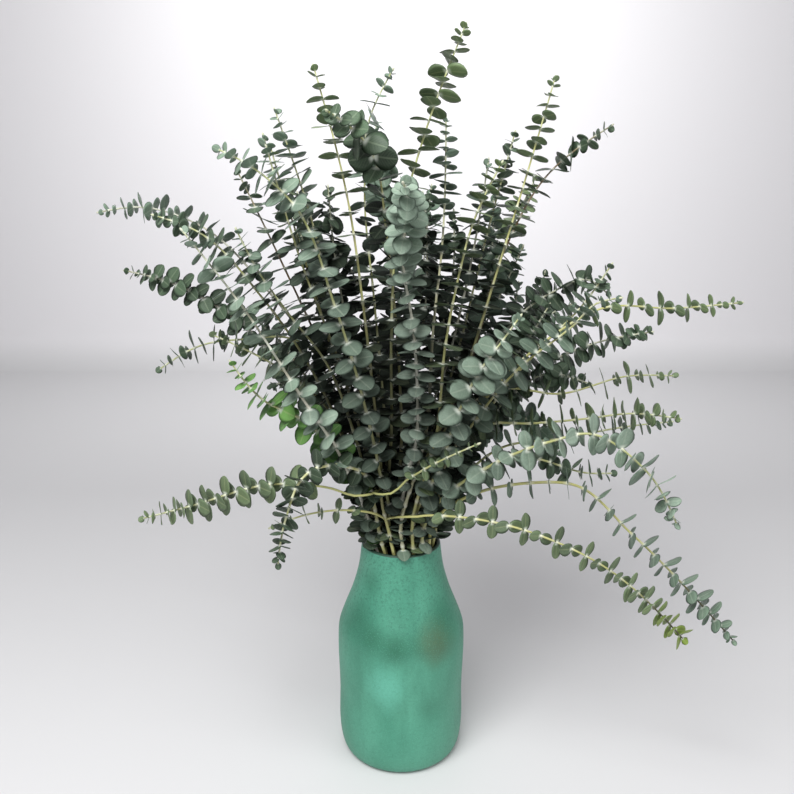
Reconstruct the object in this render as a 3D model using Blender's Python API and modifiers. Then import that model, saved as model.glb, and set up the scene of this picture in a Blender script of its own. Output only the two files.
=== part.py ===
"""A bunch of long, leafy eucalyptus stems standing in water in a green bottle vase.

Metres with +Z up, and the origin in the middle of the vase's base. The bunch is seen from -Y, with
+X to the right. Every length and place in the tables below is in millimetres.
"""

import itertools
import math
import random

import bmesh
import bpy
import numpy as np
from mathutils import Matrix, Vector
from mathutils.bvhtree import BVHTree

MM = 0.001

# The bottle vase: radius and height down its outer side, from the lip to the foot
VASE_SIDES = 24
VASE_HEIGHT = 254
VASE_OUTER = [
    (44.4, 252.5), (48.3, 224), (55.5, 198), (66, 171), (71.3, 155), (72.4, 142),
    (71.2, 80), (69.8, 13), (66, 3.5), (58, 0),
]
VASE_WALL = 4.2
VASE_FLOOR = 6
INSIDE_HEIGHTS = (16, 142, 171, 198, 252.5)
FLOOR_ROUNDING = 8
LIP_FLAT = (41.6, 43.2)
SHARPEST_SMOOTH_EDGE = math.radians(40)

# The water in it
WATER_LEVEL = 128
GAP = 0.3
HOLE_MARGIN = 0.9
HOLE_BELOW_WATER = -10
HOLE_ABOVE_WATER = 15

# How the stems stand in the bottle: each ring's radius in the neck and its number of places
NECK_HEIGHT = 254
NECK_RINGS = [(37, 21), (29, 17), (21, 12), (12, 7)]
FOOT_HEIGHT = 7.1
FOOT_SPREAD = 1.2
TWIST = math.radians(100)
LEAVE_HEIGHT = 266
FAN_FROM_HEIGHT = 100

# Stems that come out at the front of the mouth, and points (x, y) beyond it that they make for
FRONT_STEMS = {"stem_crown_1": (-14, -76), "stem_crown_3": (14, -76), "stem_crown_7": (44, -62)}

# Stems and leaves
STEM_RADIUS_FOOT = 2.2
STEM_RADIUS_NECK = 1.8
STEM_RADIUS_TIP = 0.7
BRANCH_RADIUS = 1.2
BRANCH_RISE = 25

# The courses: their step, how near they keep to it as tubes, and how they are bent clear of each other
COURSE_STEP = 5
COURSE_TOLERANCE = 1.5
STEM_APART = 7.0
PUSH_ROUNDS = 60
PUSH_SAMPLES = 17
HELD_ABOVE_NECK = 60
HELD_AT_JOINT = 30

# The leaves: size, outline as (share of the length, share of half the width), and places along a stem
LEAF_LENGTH = 22.5
LEAF_WIDTH = 20.5
LEAF_THICKNESS = 0.8
LEAF_WAIST = 2.4
LEAF_CLEAR = 0.5
LEAF_OUTLINE = [(0.36, 1.0), (0.74, 0.8)]
TIP_LEAF_SHARE = 0.36
FULL_LEAF_FROM_TIP = 80
LEAF_GROWTH = 0.7
FIRST_LEAF = 20
LAST_LEAF = 8
PAIR_SPACING = 105
FEWEST_PAIRS = 3
LOWEST_PAIR = 0.35
FIRST_TURN = 20
SLIDES = (0, -8, 8, -16, 16)
TURNS = (0, 18, -18, 36, -36, 54, -54)
SEED = 5

# Each stem's tint and the places that it passes above the vase, out to its tip
STEMS = {
    "stem_crown_1": ("olive", [
        (-15, -40, 295), (-25, -70, 410), (-35, -85, 515), (-50, -80, 625), (-80, -60, 740),
    ]),
    "stem_crown_2": ("olive", [
        (-10, -60, 410), (-10, -70, 500), (-5, -60, 585), (20, -45, 680), (60, -20, 785),
    ]),
    "stem_crown_3": ("blue", [(25, -80, 410), (30, -80, 505), (40, -40, 585), (45, 10, 705)]),
    "stem_crown_4": ("dark", [
        (0, -25, 400), (-5, -35, 495), (-15, -50, 595), (-25, -85, 660), (-60, -150, 690),
    ]),
    "stem_crown_5": ("blue", [
        (-20, 30, 410), (-30, 45, 520), (-40, 55, 640), (-35, 60, 710), (-10, 60, 760),
    ]),
    "stem_crown_6": ("blue", [
        (15, -100, 420), (10, -120, 510), (0, -135, 575), (5, -175, 615), (0, -225, 630),
    ]),
    "stem_crown_7": ("olive", [
        (35, -95, 415), (40, -110, 495), (50, -105, 550), (65, -95, 605), (90, -80, 655),
    ]),
    "stem_crown_8": ("blue", [(55, 20, 470), (75, 20, 565), (90, 20, 665)]),
    "stem_crown_9": ("dark", [(65, 45, 465), (95, 50, 595), (120, 45, 695)]),
    "stem_crown_10": ("olive", [(70, -30, 465), (100, -10, 560), (140, 25, 685), (160, 45, 750)]),
    "stem_crown_11": ("dark", [(80, 40, 455), (115, 55, 575), (160, 60, 655), (225, 60, 705)]),
    "stem_crown_12": ("blue", [(75, 70, 425), (100, 85, 515), (105, 90, 630)]),
    "stem_crown_13": ("dark", [(15, 60, 425), (30, 80, 530), (25, 90, 635)]),
    "stem_crown_14": ("dark", [(-40, 35, 375), (-60, 50, 485), (-75, 60, 575), (-80, 60, 640)]),
    "stem_crown_15": ("dark", [(-20, 40, 370), (-35, 70, 485), (-55, 85, 545), (-80, 90, 585)]),
    "stem_crown_16": ("dark", [(25, 35, 375), (45, 60, 475), (60, 80, 550), (60, 85, 615)]),
    "stem_left_1": ("blue", [
        (-30, -85, 405), (-60, -120, 530), (-95, -125, 620), (-130, -120, 650), (-160, -110, 665),
    ]),
    "stem_left_2": ("dark", [(-65, 10, 415), (-130, 15, 570), (-170, 20, 655)]),
    "stem_left_3": ("blue", [(-60, -20, 445), (-105, -20, 575), (-135, -20, 685)]),
    "stem_left_4": ("blue", [(-60, 40, 440), (-105, 55, 630), (-135, 60, 720)]),
    "stem_left_5": ("blue", [
        (-80, 25, 435), (-145, 35, 530), (-215, 35, 600), (-280, 35, 620), (-320, 30, 615),
    ]),
    "stem_left_6": ("dark", [(-85, -30, 440), (-140, -35, 530), (-200, -40, 595), (-240, -40, 610)]),
    "stem_left_7": ("blue", [(-65, -90, 390), (-95, -105, 445), (-145, -100, 525), (-200, -90, 595)]),
    "stem_left_8": ("dark", [(-115, 60, 415), (-185, 75, 490), (-260, 80, 535), (-315, 80, 550)]),
    "stem_left_9": ("dark", [
        (-60, 20, 415), (-120, 25, 480), (-170, 20, 480), (-215, 10, 475), (-260, 0, 450),
    ]),
    "stem_left_10": ("young", [(-65, -60, 375), (-100, -75, 415), (-135, -80, 435), (-165, -75, 470)]),
    "stem_left_11": ("olive", [(-85, -20, 420), (-125, -25, 455), (-170, -25, 480), (-195, -20, 490)]),
    "stem_left_12": ("dark", [
        (-50, -75, 365), (-75, -95, 375), (-95, -110, 365), (-110, -120, 330), (-120, -120, 280),
    ]),
    "stem_left_13": ("olive", [
        (-55, 0, 385), (-80, 5, 490), (-105, 15, 575), (-125, 20, 640), (-135, 20, 680),
    ]),
    "stem_left_14": ("blue", [
        (-50, -45, 395), (-75, -50, 465), (-115, -50, 520), (-140, -45, 555), (-160, -45, 595),
    ]),
    "stem_right_1": ("blue", [
        (40, -85, 375), (55, -110, 435), (70, -120, 470), (90, -125, 500), (105, -120, 520),
    ]),
    "stem_right_2": ("dark", [(105, 80, 420), (155, 100, 485), (170, 105, 545)]),
    "stem_right_3": ("blue", [(90, 110, 410), (135, 135, 480), (145, 140, 530)]),
    "stem_right_4": ("dark", [(105, 0, 420), (150, 0, 475), (190, -5, 520), (215, -10, 560)]),
    "stem_right_5": ("dark", [
        (90, 50, 430), (130, 65, 495), (170, 70, 525), (215, 70, 540), (235, 65, 525),
    ]),
    "stem_right_6": ("olive", [
        (80, -45, 420), (150, -55, 495), (195, -50, 520), (275, -40, 520), (340, -35, 525),
    ]),
    "stem_right_7": ("blue", [
        (70, -65, 405), (115, -85, 470), (160, -95, 510), (180, -95, 530), (200, -95, 535),
    ]),
    "stem_right_8": ("dark", [(90, 50, 370), (150, 70, 430), (220, 75, 465), (290, 75, 480)]),
    "stem_right_9": ("olive", [
        (70, 10, 405), (110, 15, 425), (175, 15, 420), (250, 15, 440), (300, 15, 440),
    ]),
    "stem_right_10": ("olive", [
        (75, -45, 400), (135, -55, 405), (190, -55, 410), (230, -55, 415), (280, -55, 410),
    ]),
    "stem_right_11": ("dark", [(115, 40, 350), (185, 45, 360), (265, 45, 375), (310, 45, 380)]),
    "stem_right_12": ("blue", [
        (90, -95, 375), (140, -120, 405), (170, -130, 415), (220, -140, 385), (255, -140, 330),
    ]),
    "stem_right_13": ("dark", [(95, -35, 355), (130, -45, 365), (195, -50, 350), (220, -50, 350)]),
    "stem_right_14": ("blue", [
        (75, -70, 335), (130, -80, 350), (170, -85, 350), (230, -90, 300), (345, -90, 180),
    ]),
    "stem_right_15": ("dark", [(70, 10, 380), (105, 20, 435), (140, 25, 480), (160, 25, 515)]),
    "stem_right_16": ("dark", [(60, 25, 345), (115, 45, 400), (165, 50, 435), (215, 45, 425)]),
    "stem_back_1": ("blue", [(20, 120, 440), (30, 180, 560), (40, 215, 650)]),
    "stem_back_2": ("dark", [(-60, 110, 440), (-100, 160, 560), (-130, 190, 640)]),
    "stem_back_3": ("blue", [(-110, 110, 410), (-180, 160, 480), (-240, 190, 500)]),
    "stem_back_4": ("blue", [(110, 120, 410), (180, 180, 480), (230, 210, 500)]),
    "stem_back_5": ("dark", [(-10, 140, 390), (-20, 220, 430), (-30, 290, 400)]),
    "stem_back_6": ("olive", [(80, 110, 460), (130, 160, 580), (170, 190, 660)]),
    "stem_back_7": ("dark", [(-80, 90, 380), (-130, 140, 410), (-170, 170, 395)]),
    "stem_back_8": ("blue", [(95, 95, 350), (155, 145, 360), (215, 185, 300)]),
    "stem_back_9": ("blue", [(-10, 90, 480), (-20, 120, 610), (-30, 130, 720)]),
    "stem_back_10": ("dark", [(-30, 55, 370), (-65, 95, 455), (-100, 115, 530), (-120, 120, 595)]),
    "stem_back_11": ("blue", [(45, 55, 370), (85, 95, 455), (120, 115, 520), (145, 120, 575)]),
}

# Side branches: the stem they grow from, the height of the joint and the places that they pass
BRANCHES = [
    ("stem_crown_1", 325, [(-60, -70, 340), (-130, -100, 355), (-205, -105, 335), (-255, -100, 320)]),
    ("stem_crown_1", 325, [(-5, -75, 345), (35, -105, 380), (70, -115, 400)]),
    ("stem_crown_1", 295, [(-55, -65, 315), (-100, -80, 315), (-130, -85, 305)]),
    ("stem_crown_1", 295, [(40, -80, 315), (110, -110, 315), (180, -125, 290), (280, -120, 200)]),
]

# Base colour, roughness and metallic value of each finish
FINISHES = {
    "vase_glaze": ((0.082, 0.350, 0.240, 1.0), 0.55, 0.0),
    "water": ((0.62, 0.74, 0.72, 0.35), 0.08, 0.0),
    "leaf_blue": ((0.105, 0.175, 0.150, 1.0), 0.62, 0.0),
    "leaf_dark": ((0.040, 0.085, 0.062, 1.0), 0.55, 0.0),
    "leaf_olive": ((0.120, 0.175, 0.085, 1.0), 0.60, 0.0),
    "leaf_young": ((0.120, 0.290, 0.070, 1.0), 0.50, 0.0),
}


def finish(name):
    """The named finish as a Principled material."""
    found = bpy.data.materials.get(name)
    if found:
        return found
    colour, roughness, metallic = FINISHES[name]
    material = bpy.data.materials.new(name)
    material.use_nodes = True
    shader = material.node_tree.nodes["Principled BSDF"]
    shader.inputs["Base Color"].default_value = colour
    shader.inputs["Alpha"].default_value = colour[3]
    shader.inputs["Roughness"].default_value = roughness
    shader.inputs["Metallic"].default_value = metallic
    return material


def add_object(name, mesh, collection, material=None):
    """A new object in the collection, at the origin, with one material."""
    made = bpy.data.objects.new(name, mesh)
    collection.objects.link(made)
    if material:
        made.data.materials.append(material)
    return made


def apply_modifiers(made):
    """Replaces the object's mesh by what its modifiers make of it."""
    graph = bpy.context.evaluated_depsgraph_get()
    mesh = bpy.data.meshes.new_from_object(made.evaluated_get(graph))
    made.modifiers.clear()
    made.data = mesh


def turned(name, profile, collection, material):
    """A solid turned about the Z axis from (radius, height) points, down its outer side."""
    mesh = bpy.data.meshes.new(name)
    points = [(radius * MM, 0, height * MM) for radius, height in profile]
    mesh.from_pydata(points, [(i, i + 1) for i in range(len(points) - 1)], [])
    made = add_object(name, mesh, collection, material)
    screw = made.modifiers.new("turn", "SCREW")
    screw.axis = "Z"
    screw.steps = VASE_SIDES
    screw.render_steps = VASE_SIDES
    screw.use_merge_vertices = True
    screw.merge_threshold = 0.00001
    screw.use_smooth_shade = True
    apply_modifiers(made)
    made.data.set_sharp_from_angle(angle=SHARPEST_SMOOTH_EDGE)
    return made


def inner_radius(height):
    """The vase's inside radius at a height."""
    radii, heights = zip(*reversed(VASE_OUTER))
    return float(np.interp(height, heights, radii)) - VASE_WALL


def make_vase(collection):
    """The bottle: a turned wall with a closed foot and an open mouth."""
    inside = [(0, VASE_FLOOR), (inner_radius(INSIDE_HEIGHTS[0]) - FLOOR_ROUNDING, VASE_FLOOR)]
    inside += [(inner_radius(height), height) for height in INSIDE_HEIGHTS]
    lip = [(radius, VASE_HEIGHT) for radius in LIP_FLAT]
    profile = inside + lip + VASE_OUTER + [(0, 0)]
    return turned("vase", profile, collection, finish("vase_glaze"))


def straight_in_bottle(place, height):
    """Where the stem in this place, a (ring radius, angle), is at a height in the bottle.

    Each stem runs straight from its foot to the neck. All feet are turned by the same angle from
    their places in the neck and spread by the same factor, so no two stems meet.
    """
    radius, angle = place
    neck = np.array([radius * math.cos(angle), radius * math.sin(angle), NECK_HEIGHT])
    foot_radius = radius * FOOT_SPREAD
    foot_angle = angle + TWIST
    foot = np.array([
        foot_radius * math.cos(foot_angle), foot_radius * math.sin(foot_angle), FOOT_HEIGHT,
    ])
    share = (height - FOOT_HEIGHT) / (NECK_HEIGHT - FOOT_HEIGHT)
    return foot + (neck - foot) * share


def places_in_neck():
    """Gives each stem its place in the neck, as (ring radius, angle).

    A stem's own spot is where a straight line to the first place that it passes crosses the neck.
    Stems trade places, two by two, for as long as that brings them nearer to their own spots.
    """
    names = list(STEMS)
    spots = []
    for name in names:
        x, y, z = STEMS[name][1][0]
        share = (NECK_HEIGHT - FAN_FROM_HEIGHT) / (z - FAN_FROM_HEIGHT)
        spots.append(FRONT_STEMS.get(name, (x * share, y * share)))
    places = [
        (radius, 2 * math.pi * index / count) for radius, count in NECK_RINGS for index in range(count)
    ]
    corners = [(radius * math.cos(angle), radius * math.sin(angle)) for radius, angle in places]
    far = [[math.dist(spot, corner) ** 2 for corner in corners] for spot in spots]
    taken = list(range(len(names)))
    better = True
    while better:
        better = False
        for one, other in itertools.combinations(range(len(names)), 2):
            now = far[one][taken[one]] + far[other][taken[other]]
            if far[one][taken[other]] + far[other][taken[one]] < now - 1e-6:
                taken[one], taken[other] = taken[other], taken[one]
                better = True
    return {name: places[slot] for name, slot in zip(names, taken)}


def smooth_course(knots, heading):
    """Points a step apart on the smooth curve through the knots, which starts along heading."""
    knots = np.array(knots, float)
    gaps = np.linalg.norm(np.diff(knots, axis=0), axis=1)
    secants = np.diff(knots, axis=0) / gaps[:, None]
    slopes = np.empty_like(knots)
    slopes[0] = heading / np.linalg.norm(heading)
    before, after = gaps[:-1, None], gaps[1:, None]
    slopes[1:-1] = (secants[:-1] * after + secants[1:] * before) / (before + after)
    slopes[-1] = 1.5 * secants[-1] - 0.5 * slopes[-2]
    lengths = np.concatenate([[0], np.cumsum(gaps)])
    at = np.linspace(0, lengths[-1], int(lengths[-1] / COURSE_STEP) + 1)
    span = np.clip(np.searchsorted(lengths, at, side="right") - 1, 0, len(gaps) - 1)
    gap = gaps[span][:, None]
    t = ((at - lengths[span]) / gaps[span])[:, None]
    return (
        (1 + 2 * t) * (1 - t) ** 2 * knots[span]
        + t * (1 - t) ** 2 * gap * slopes[span]
        + t * t * (3 - 2 * t) * knots[span + 1]
        + t * t * (t - 1) * gap * slopes[span + 1]
    )


def near_pairs(points, owner, distance):
    """The pairs of points of two owners that are nearer than the distance, each pair once.

    The points are put in order of height, so that each is only set against those just above it.
    """
    order = np.argsort(points[:, 2], kind="stable")
    ranked, owned = points[order], owner[order]
    lower, upper = [], []
    for shift in range(1, len(points)):
        away = ranked[shift:] - ranked[:-shift]
        level = away[:, 2] < distance
        if not level.any():
            break
        near = level & ((away ** 2).sum(axis=1) < distance ** 2)
        near &= owned[shift:] != owned[:-shift]
        hits = np.nonzero(near)[0]
        lower.append(order[hits])
        upper.append(order[hits + shift])
    return np.concatenate(lower), np.concatenate(upper)


def bend_clear(courses, owners, held):
    """Moves the courses' points until no two owners' points are nearer than STEM_APART.

    Each too-near pair is pushed apart by half of what it lacks, and the push is spread along the
    stem, so that it bends instead of kinking. Nothing moves where held is 1.
    """
    counts = [len(course) for course in courses]
    points = np.concatenate(courses)
    owner = np.repeat(owners, counts)
    free = 1 - np.concatenate(held)
    starts = np.cumsum([0] + counts)
    spread = np.cos(np.linspace(-math.pi / 2, math.pi / 2, PUSH_SAMPLES)) ** 2
    for _ in range(PUSH_ROUNDS):
        lower, upper = near_pairs(points, owner, STEM_APART)
        if not len(lower):
            break
        away = points[lower] - points[upper]
        distance = np.linalg.norm(away, axis=1)[:, None] + 1e-6
        push = away / distance * (STEM_APART - distance) * 0.5
        moves = np.zeros_like(points)
        np.add.at(moves, lower, push)
        np.add.at(moves, upper, -push)
        both = np.concatenate([lower, upper])
        pushed = np.bincount(both, minlength=len(points)).astype(float)
        moves /= np.maximum(pushed, 1)[:, None]
        active = (pushed > 0).astype(float)
        for start, end in zip(starts[:-1], starts[1:]):
            weight = np.maximum(np.convolve(active[start:end], spread, "same"), 1)
            for axis in range(3):
                eased = np.convolve(moves[start:end, axis], spread, "same") / weight
                points[start:end, axis] += eased * free[start:end]
    return [points[start:end] for start, end in zip(starts[:-1], starts[1:])]


def fading(count, length):
    """1 at the first point, falling smoothly to 0 at the given length along a course."""
    share = np.clip(np.arange(count) * COURSE_STEP / length, 0, 1)
    return 1 - share * share * (3 - 2 * share)


def all_courses(places):
    """The course of each stem above the vase, and of each side branch, all clear of each other."""
    names = list(STEMS)
    courses = []
    for name in names:
        leave = straight_in_bottle(places[name], LEAVE_HEIGHT)
        heading = leave - straight_in_bottle(places[name], 0)
        courses.append(smooth_course([leave] + STEMS[name][1], heading))
    held = [fading(len(course), HELD_ABOVE_NECK) for course in courses]
    stems = dict(zip(names, bend_clear(courses, list(range(len(names))), held)))
    side = []
    for parent, height, passes in BRANCHES:
        course = stems[parent]
        joint = course[np.argmin(abs(course[:, 2] - height))]
        side.append(smooth_course([joint] + passes, np.array(passes[0]) - joint + (0, 0, BRANCH_RISE)))
    owners = list(range(len(names))) + [names.index(row[0]) for row in BRANCHES]
    held = [np.ones(len(stems[name])) for name in names]
    held += [fading(len(course), HELD_AT_JOINT) for course in side]
    moved = bend_clear([stems[name] for name in names] + side, owners, held)
    return dict(zip(names, moved)), moved[len(names):]


def thinned(points, tolerance):
    """The fewest of the points whose straight lines stay this near the whole course."""
    line = points[-1] - points[0]
    along = np.clip((points - points[0]) @ line / (line @ line), 0, 1)
    off = np.linalg.norm(points - points[0] - along[:, None] * line, axis=1)
    far = int(np.argmax(off))
    if off[far] < tolerance:
        return [points[0], points[-1]]
    return thinned(points[:far + 1], tolerance)[:-1] + thinned(points[far:], tolerance)


def section_outline(collection):
    """The three-cornered section that every tube is drawn along its line with."""
    curve = bpy.data.curves.new("section", "CURVE")
    curve.dimensions = "2D"
    spline = curve.splines.new("POLY")
    spline.points.add(2)
    spline.use_cyclic_u = True
    for corner, spot in enumerate(spline.points):
        angle = 2 * math.pi * corner / 3
        spot.co = (math.cos(angle), math.sin(angle), 0, 1)
    outline = add_object("section", curve, collection)
    outline.hide_render = True
    outline.display_type = "WIRE"


def tube(name, points, radii, collection, material=None):
    """A three-sided tube through the points, closed at both ends, as a mesh."""
    curve = bpy.data.curves.new(name, "CURVE")
    curve.dimensions = "3D"
    curve.bevel_mode = "OBJECT"
    curve.bevel_object = bpy.data.objects["section"]
    curve.use_fill_caps = True
    spline = curve.splines.new("POLY")
    spline.points.add(len(points) - 1)
    for spot, point, radius in zip(spline.points, points, radii):
        spot.co = (*(np.array(point) * MM), 1)
        spot.radius = radius * MM
    guide = add_object(name + "_line", curve, collection)
    graph = bpy.context.evaluated_depsgraph_get()
    mesh = bpy.data.meshes.new_from_object(guide.evaluated_get(graph))
    bpy.data.objects.remove(guide)
    shape = bmesh.new()
    shape.from_mesh(mesh)
    bmesh.ops.remove_doubles(shape, verts=shape.verts, dist=0.00001)
    bmesh.ops.recalc_face_normals(shape, faces=shape.faces)
    shape.to_mesh(mesh)
    shape.free()
    return add_object(name, mesh, collection, material)


def leaf_pair_mesh(name, size, margin=0.0):
    """Two opposite leaves as one flat, thin plate across the stem, which runs along Z.

    Each leaf is round with a slight point, and lies along X. margin grows the plate all round.
    """
    length = LEAF_LENGTH * size + margin
    half = LEAF_WIDTH * size / 2 + margin
    waist = LEAF_WAIST + margin
    right = [(0, -waist)] + [(along * length, -across * half) for along, across in LEAF_OUTLINE]
    right += [(length, 0)]
    right += [(x, -y) for x, y in reversed(right[:-1])]
    outline = right + [(-x, -y) for x, y in right[1:-1]]
    top = (LEAF_THICKNESS / 2 + margin) * MM
    shape = bmesh.new()
    face = shape.faces.new([shape.verts.new((x * MM, y * MM, top)) for x, y in outline])
    raised = bmesh.ops.extrude_face_region(shape, geom=[face])["geom"]
    moved = [item for item in raised if isinstance(item, bmesh.types.BMVert)]
    bmesh.ops.translate(shape, verts=moved, vec=(0, 0, -2 * top))
    bmesh.ops.recalc_face_normals(shape, faces=shape.faces)
    mesh = bpy.data.meshes.new(name)
    shape.to_mesh(mesh)
    shape.free()
    return mesh


def frame_on(course, at):
    """The place a distance along the course, with the stem's direction and a level side direction."""
    index = min(int(at / COURSE_STEP), len(course) - 2)
    place = course[index] + (course[index + 1] - course[index]) * (at / COURSE_STEP - index)
    low, high = max(index - 1, 0), min(index + 2, len(course) - 1)
    along = course[high] - course[low]
    along /= np.linalg.norm(along)
    lean = course[-1] - course[0]
    side = np.cross((0, 0, 1), lean + (1e-3, 0, 0))
    side -= along * (side @ along)
    return place, along, side / np.linalg.norm(side)


def leaf_size(from_tip):
    """A leaf's size as a share of the full one: small at the tip and full a hand's width below."""
    grown = (from_tip / FULL_LEAF_FROM_TIP) ** LEAF_GROWTH
    return min(1.0, TIP_LEAF_SHARE + (1 - TIP_LEAF_SHARE) * grown)


def pair_transform(course, at, turn):
    """Places a leaf pair across the stem, turned about it."""
    place, along, side = frame_on(course, at)
    out = np.cross(side, along)
    across = side * math.cos(turn) + out * math.sin(turn)
    normal = np.cross(along, across)
    matrix = Matrix((across, normal, along)).transposed().to_4x4()
    matrix.translation = Vector(place * MM)
    return matrix


def surface_tree(mesh, matrix=None):
    """The mesh's faces, moved by the matrix, for finding what meets them."""
    corners = [matrix @ vertex.co if matrix else vertex.co for vertex in mesh.vertices]
    return BVHTree.FromPolygons(corners, [list(face.vertices) for face in mesh.polygons])


def leaf_pairs(course, draw, obstacles):
    """Places for leaf pairs along a course, as (distance, turn, size), clear of the obstacles.

    They are spread evenly out to the tip, each turned a quarter from the last. A pair that would
    meet something is turned or slid a little, and left out when nothing helps.
    """
    length = len(course) * COURSE_STEP
    first, last = FIRST_LEAF, length - LAST_LEAF
    phase = math.radians(draw.uniform(-FIRST_TURN, FIRST_TURN))
    tries = [(slide, math.radians(turn)) for slide in SLIDES for turn in TURNS]
    count = max(FEWEST_PAIRS, round(length / PAIR_SPACING))
    found = []
    for index in range(count):
        share = (index + LOWEST_PAIR) / (count - 1 + LOWEST_PAIR)
        for slide, turn in tries:
            at = min(max(first + (last - first) * share + slide, first), last)
            angle = phase + math.pi / 2 * (index % 2) + turn
            size = leaf_size(length - at)
            trial = leaf_pair_mesh("trial", size, LEAF_CLEAR)
            tree = surface_tree(trial, pair_transform(course, at, angle))
            bpy.data.meshes.remove(trial)
            if not any(tree.overlap(other) for other in obstacles):
                found.append((at, angle, size))
                break
    return found


def add_leaves(name, course, found, collection):
    """The leaf pairs of one course as separate solids, ready to be joined to their stem."""
    made = []
    for index, (at, turn, size) in enumerate(found):
        plate = leaf_pair_mesh(f"{name}_pair_{index}", size)
        plate.transform(pair_transform(course, at, turn))
        made.append(add_object(plate.name, plate, collection))
    return made


def join(made, repeats):
    """Unites the object with everything in the collection, which is then removed."""
    union = made.modifiers.new("join", "BOOLEAN")
    union.operation = "UNION"
    union.operand_type = "COLLECTION"
    union.collection = repeats
    union.solver = "EXACT"
    apply_modifiers(made)
    for part in list(repeats.objects):
        bpy.data.objects.remove(part)
    bpy.data.collections.remove(repeats)


def stem_radii(points, low, high):
    """Radii that fall evenly along the points."""
    gaps = np.linalg.norm(np.diff(np.array(points), axis=0), axis=1)
    along = np.concatenate([[0], np.cumsum(gaps)])
    return low + (high - low) * along / along[-1]


def make_water(places, collection, cutters):
    """The water, with a plain hole for each stem."""
    side = [(inner_radius(height) - GAP, height) for height in (WATER_LEVEL, INSIDE_HEIGHTS[0])]
    bottom = VASE_FLOOR + GAP
    edge = inner_radius(INSIDE_HEIGHTS[0]) - FLOOR_ROUNDING - GAP
    profile = [(0, WATER_LEVEL)] + side + [(edge, bottom), (0, bottom)]
    water = turned("water", profile, collection, finish("water"))
    for name, place in places.items():
        heights = (HOLE_BELOW_WATER, WATER_LEVEL + HOLE_ABOVE_WATER)
        ends = [straight_in_bottle(place, height) for height in heights]
        wide = STEM_RADIUS_FOOT + HOLE_MARGIN
        tube(name + "_hole", ends, (wide, wide), cutters)
    cut = water.modifiers.new("stem_holes", "BOOLEAN")
    cut.operation = "DIFFERENCE"
    cut.operand_type = "COLLECTION"
    cut.collection = cutters
    cut.solver = "EXACT"
    return water


def make_stems(places, collection):
    """Every stem with its leaves and side branches, each one solid."""
    draw = random.Random(SEED)
    courses, side = all_courses(places)
    vase_tree = surface_tree(bpy.data.objects["vase"].data)
    tubes = {}
    repeats = {}
    for name, course in courses.items():
        above = thinned(course, COURSE_TOLERANCE)
        above_radii = stem_radii(above, STEM_RADIUS_NECK, STEM_RADIUS_TIP)
        foot = straight_in_bottle(places[name], FOOT_HEIGHT)
        stem = tube(
            name, [foot] + above, [STEM_RADIUS_FOOT, *above_radii], collection,
            finish("leaf_" + STEMS[name][0]),
        )
        tubes[name] = [surface_tree(stem.data)]
        repeats[name] = bpy.data.collections.new(name + "_repeats")
        bpy.context.scene.collection.children.link(repeats[name])
    branches = {name: [] for name in STEMS}
    for index, (row, course) in enumerate(zip(BRANCHES, side)):
        line = thinned(course, COURSE_TOLERANCE)
        radii = stem_radii(line, BRANCH_RADIUS, STEM_RADIUS_TIP)
        branch = tube(f"branch_{index}", line, radii, repeats[row[0]])
        tubes[row[0]].append(surface_tree(branch.data))
        branches[row[0]].append(course)
    for name, course in courses.items():
        others = [tree for other in tubes if other != name for tree in tubes[other]] + [vase_tree]
        for line in [course] + branches[name]:
            found = leaf_pairs(line, draw, others)
            for plate in add_leaves(name, line, found, repeats[name]):
                tubes[name].append(surface_tree(plate.data))
        join(bpy.data.objects[name], repeats[name])


def main():
    for old in list(bpy.data.objects):
        bpy.data.objects.remove(old)
    scene = bpy.context.scene.collection
    parts = bpy.data.collections.new("eucalyptus_in_vase")
    cutters = bpy.data.collections.new("cutters")
    guides = bpy.data.collections.new("guides")
    for collection in (parts, cutters, guides):
        scene.children.link(collection)
    places = places_in_neck()
    section_outline(guides)
    make_vase(parts)
    make_water(places, parts, cutters)
    for cutter in cutters.objects:
        cutter.hide_render = True
        cutter.display_type = "WIRE"
    make_stems(places, parts)


main()
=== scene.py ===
"""The looks of a bunch of eucalyptus stems standing in a green bottle vase.

The tables hold millimetres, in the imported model's own frame, and MM turns them into metres where
they go into a mesh. The stems follow the same courses as the solids that they replace.
"""

import itertools
import math

import bpy
import numpy as np
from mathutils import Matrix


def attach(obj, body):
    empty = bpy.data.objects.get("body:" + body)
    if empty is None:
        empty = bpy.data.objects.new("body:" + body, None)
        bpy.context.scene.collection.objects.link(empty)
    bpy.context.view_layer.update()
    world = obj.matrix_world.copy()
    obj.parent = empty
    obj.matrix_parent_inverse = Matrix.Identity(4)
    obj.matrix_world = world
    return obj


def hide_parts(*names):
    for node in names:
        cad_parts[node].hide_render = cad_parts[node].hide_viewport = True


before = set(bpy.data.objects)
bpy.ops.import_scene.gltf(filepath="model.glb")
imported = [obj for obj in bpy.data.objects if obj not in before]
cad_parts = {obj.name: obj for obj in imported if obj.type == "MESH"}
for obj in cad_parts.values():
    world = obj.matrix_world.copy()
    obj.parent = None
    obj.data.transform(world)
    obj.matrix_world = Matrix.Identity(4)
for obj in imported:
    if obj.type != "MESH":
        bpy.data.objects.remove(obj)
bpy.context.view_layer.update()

MM = 0.001

# The bottle vase: radius and height down its outer side, as in the solid
VASE_OUTER = [
    (44.4, 252.5), (48.3, 224), (55.5, 198), (66, 171), (71.3, 155), (72.4, 142),
    (71.2, 80), (69.8, 13), (66, 3.5), (58, 0),
]
VASE_HEIGHT = 254
VASE_WALL = 4.2
VASE_FLOOR = 6
NECK_INSIDE = 40.2
LIP_MIDDLE = (42.3, 252.2)
LIP_HALF = (2.1, 1.75)

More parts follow.
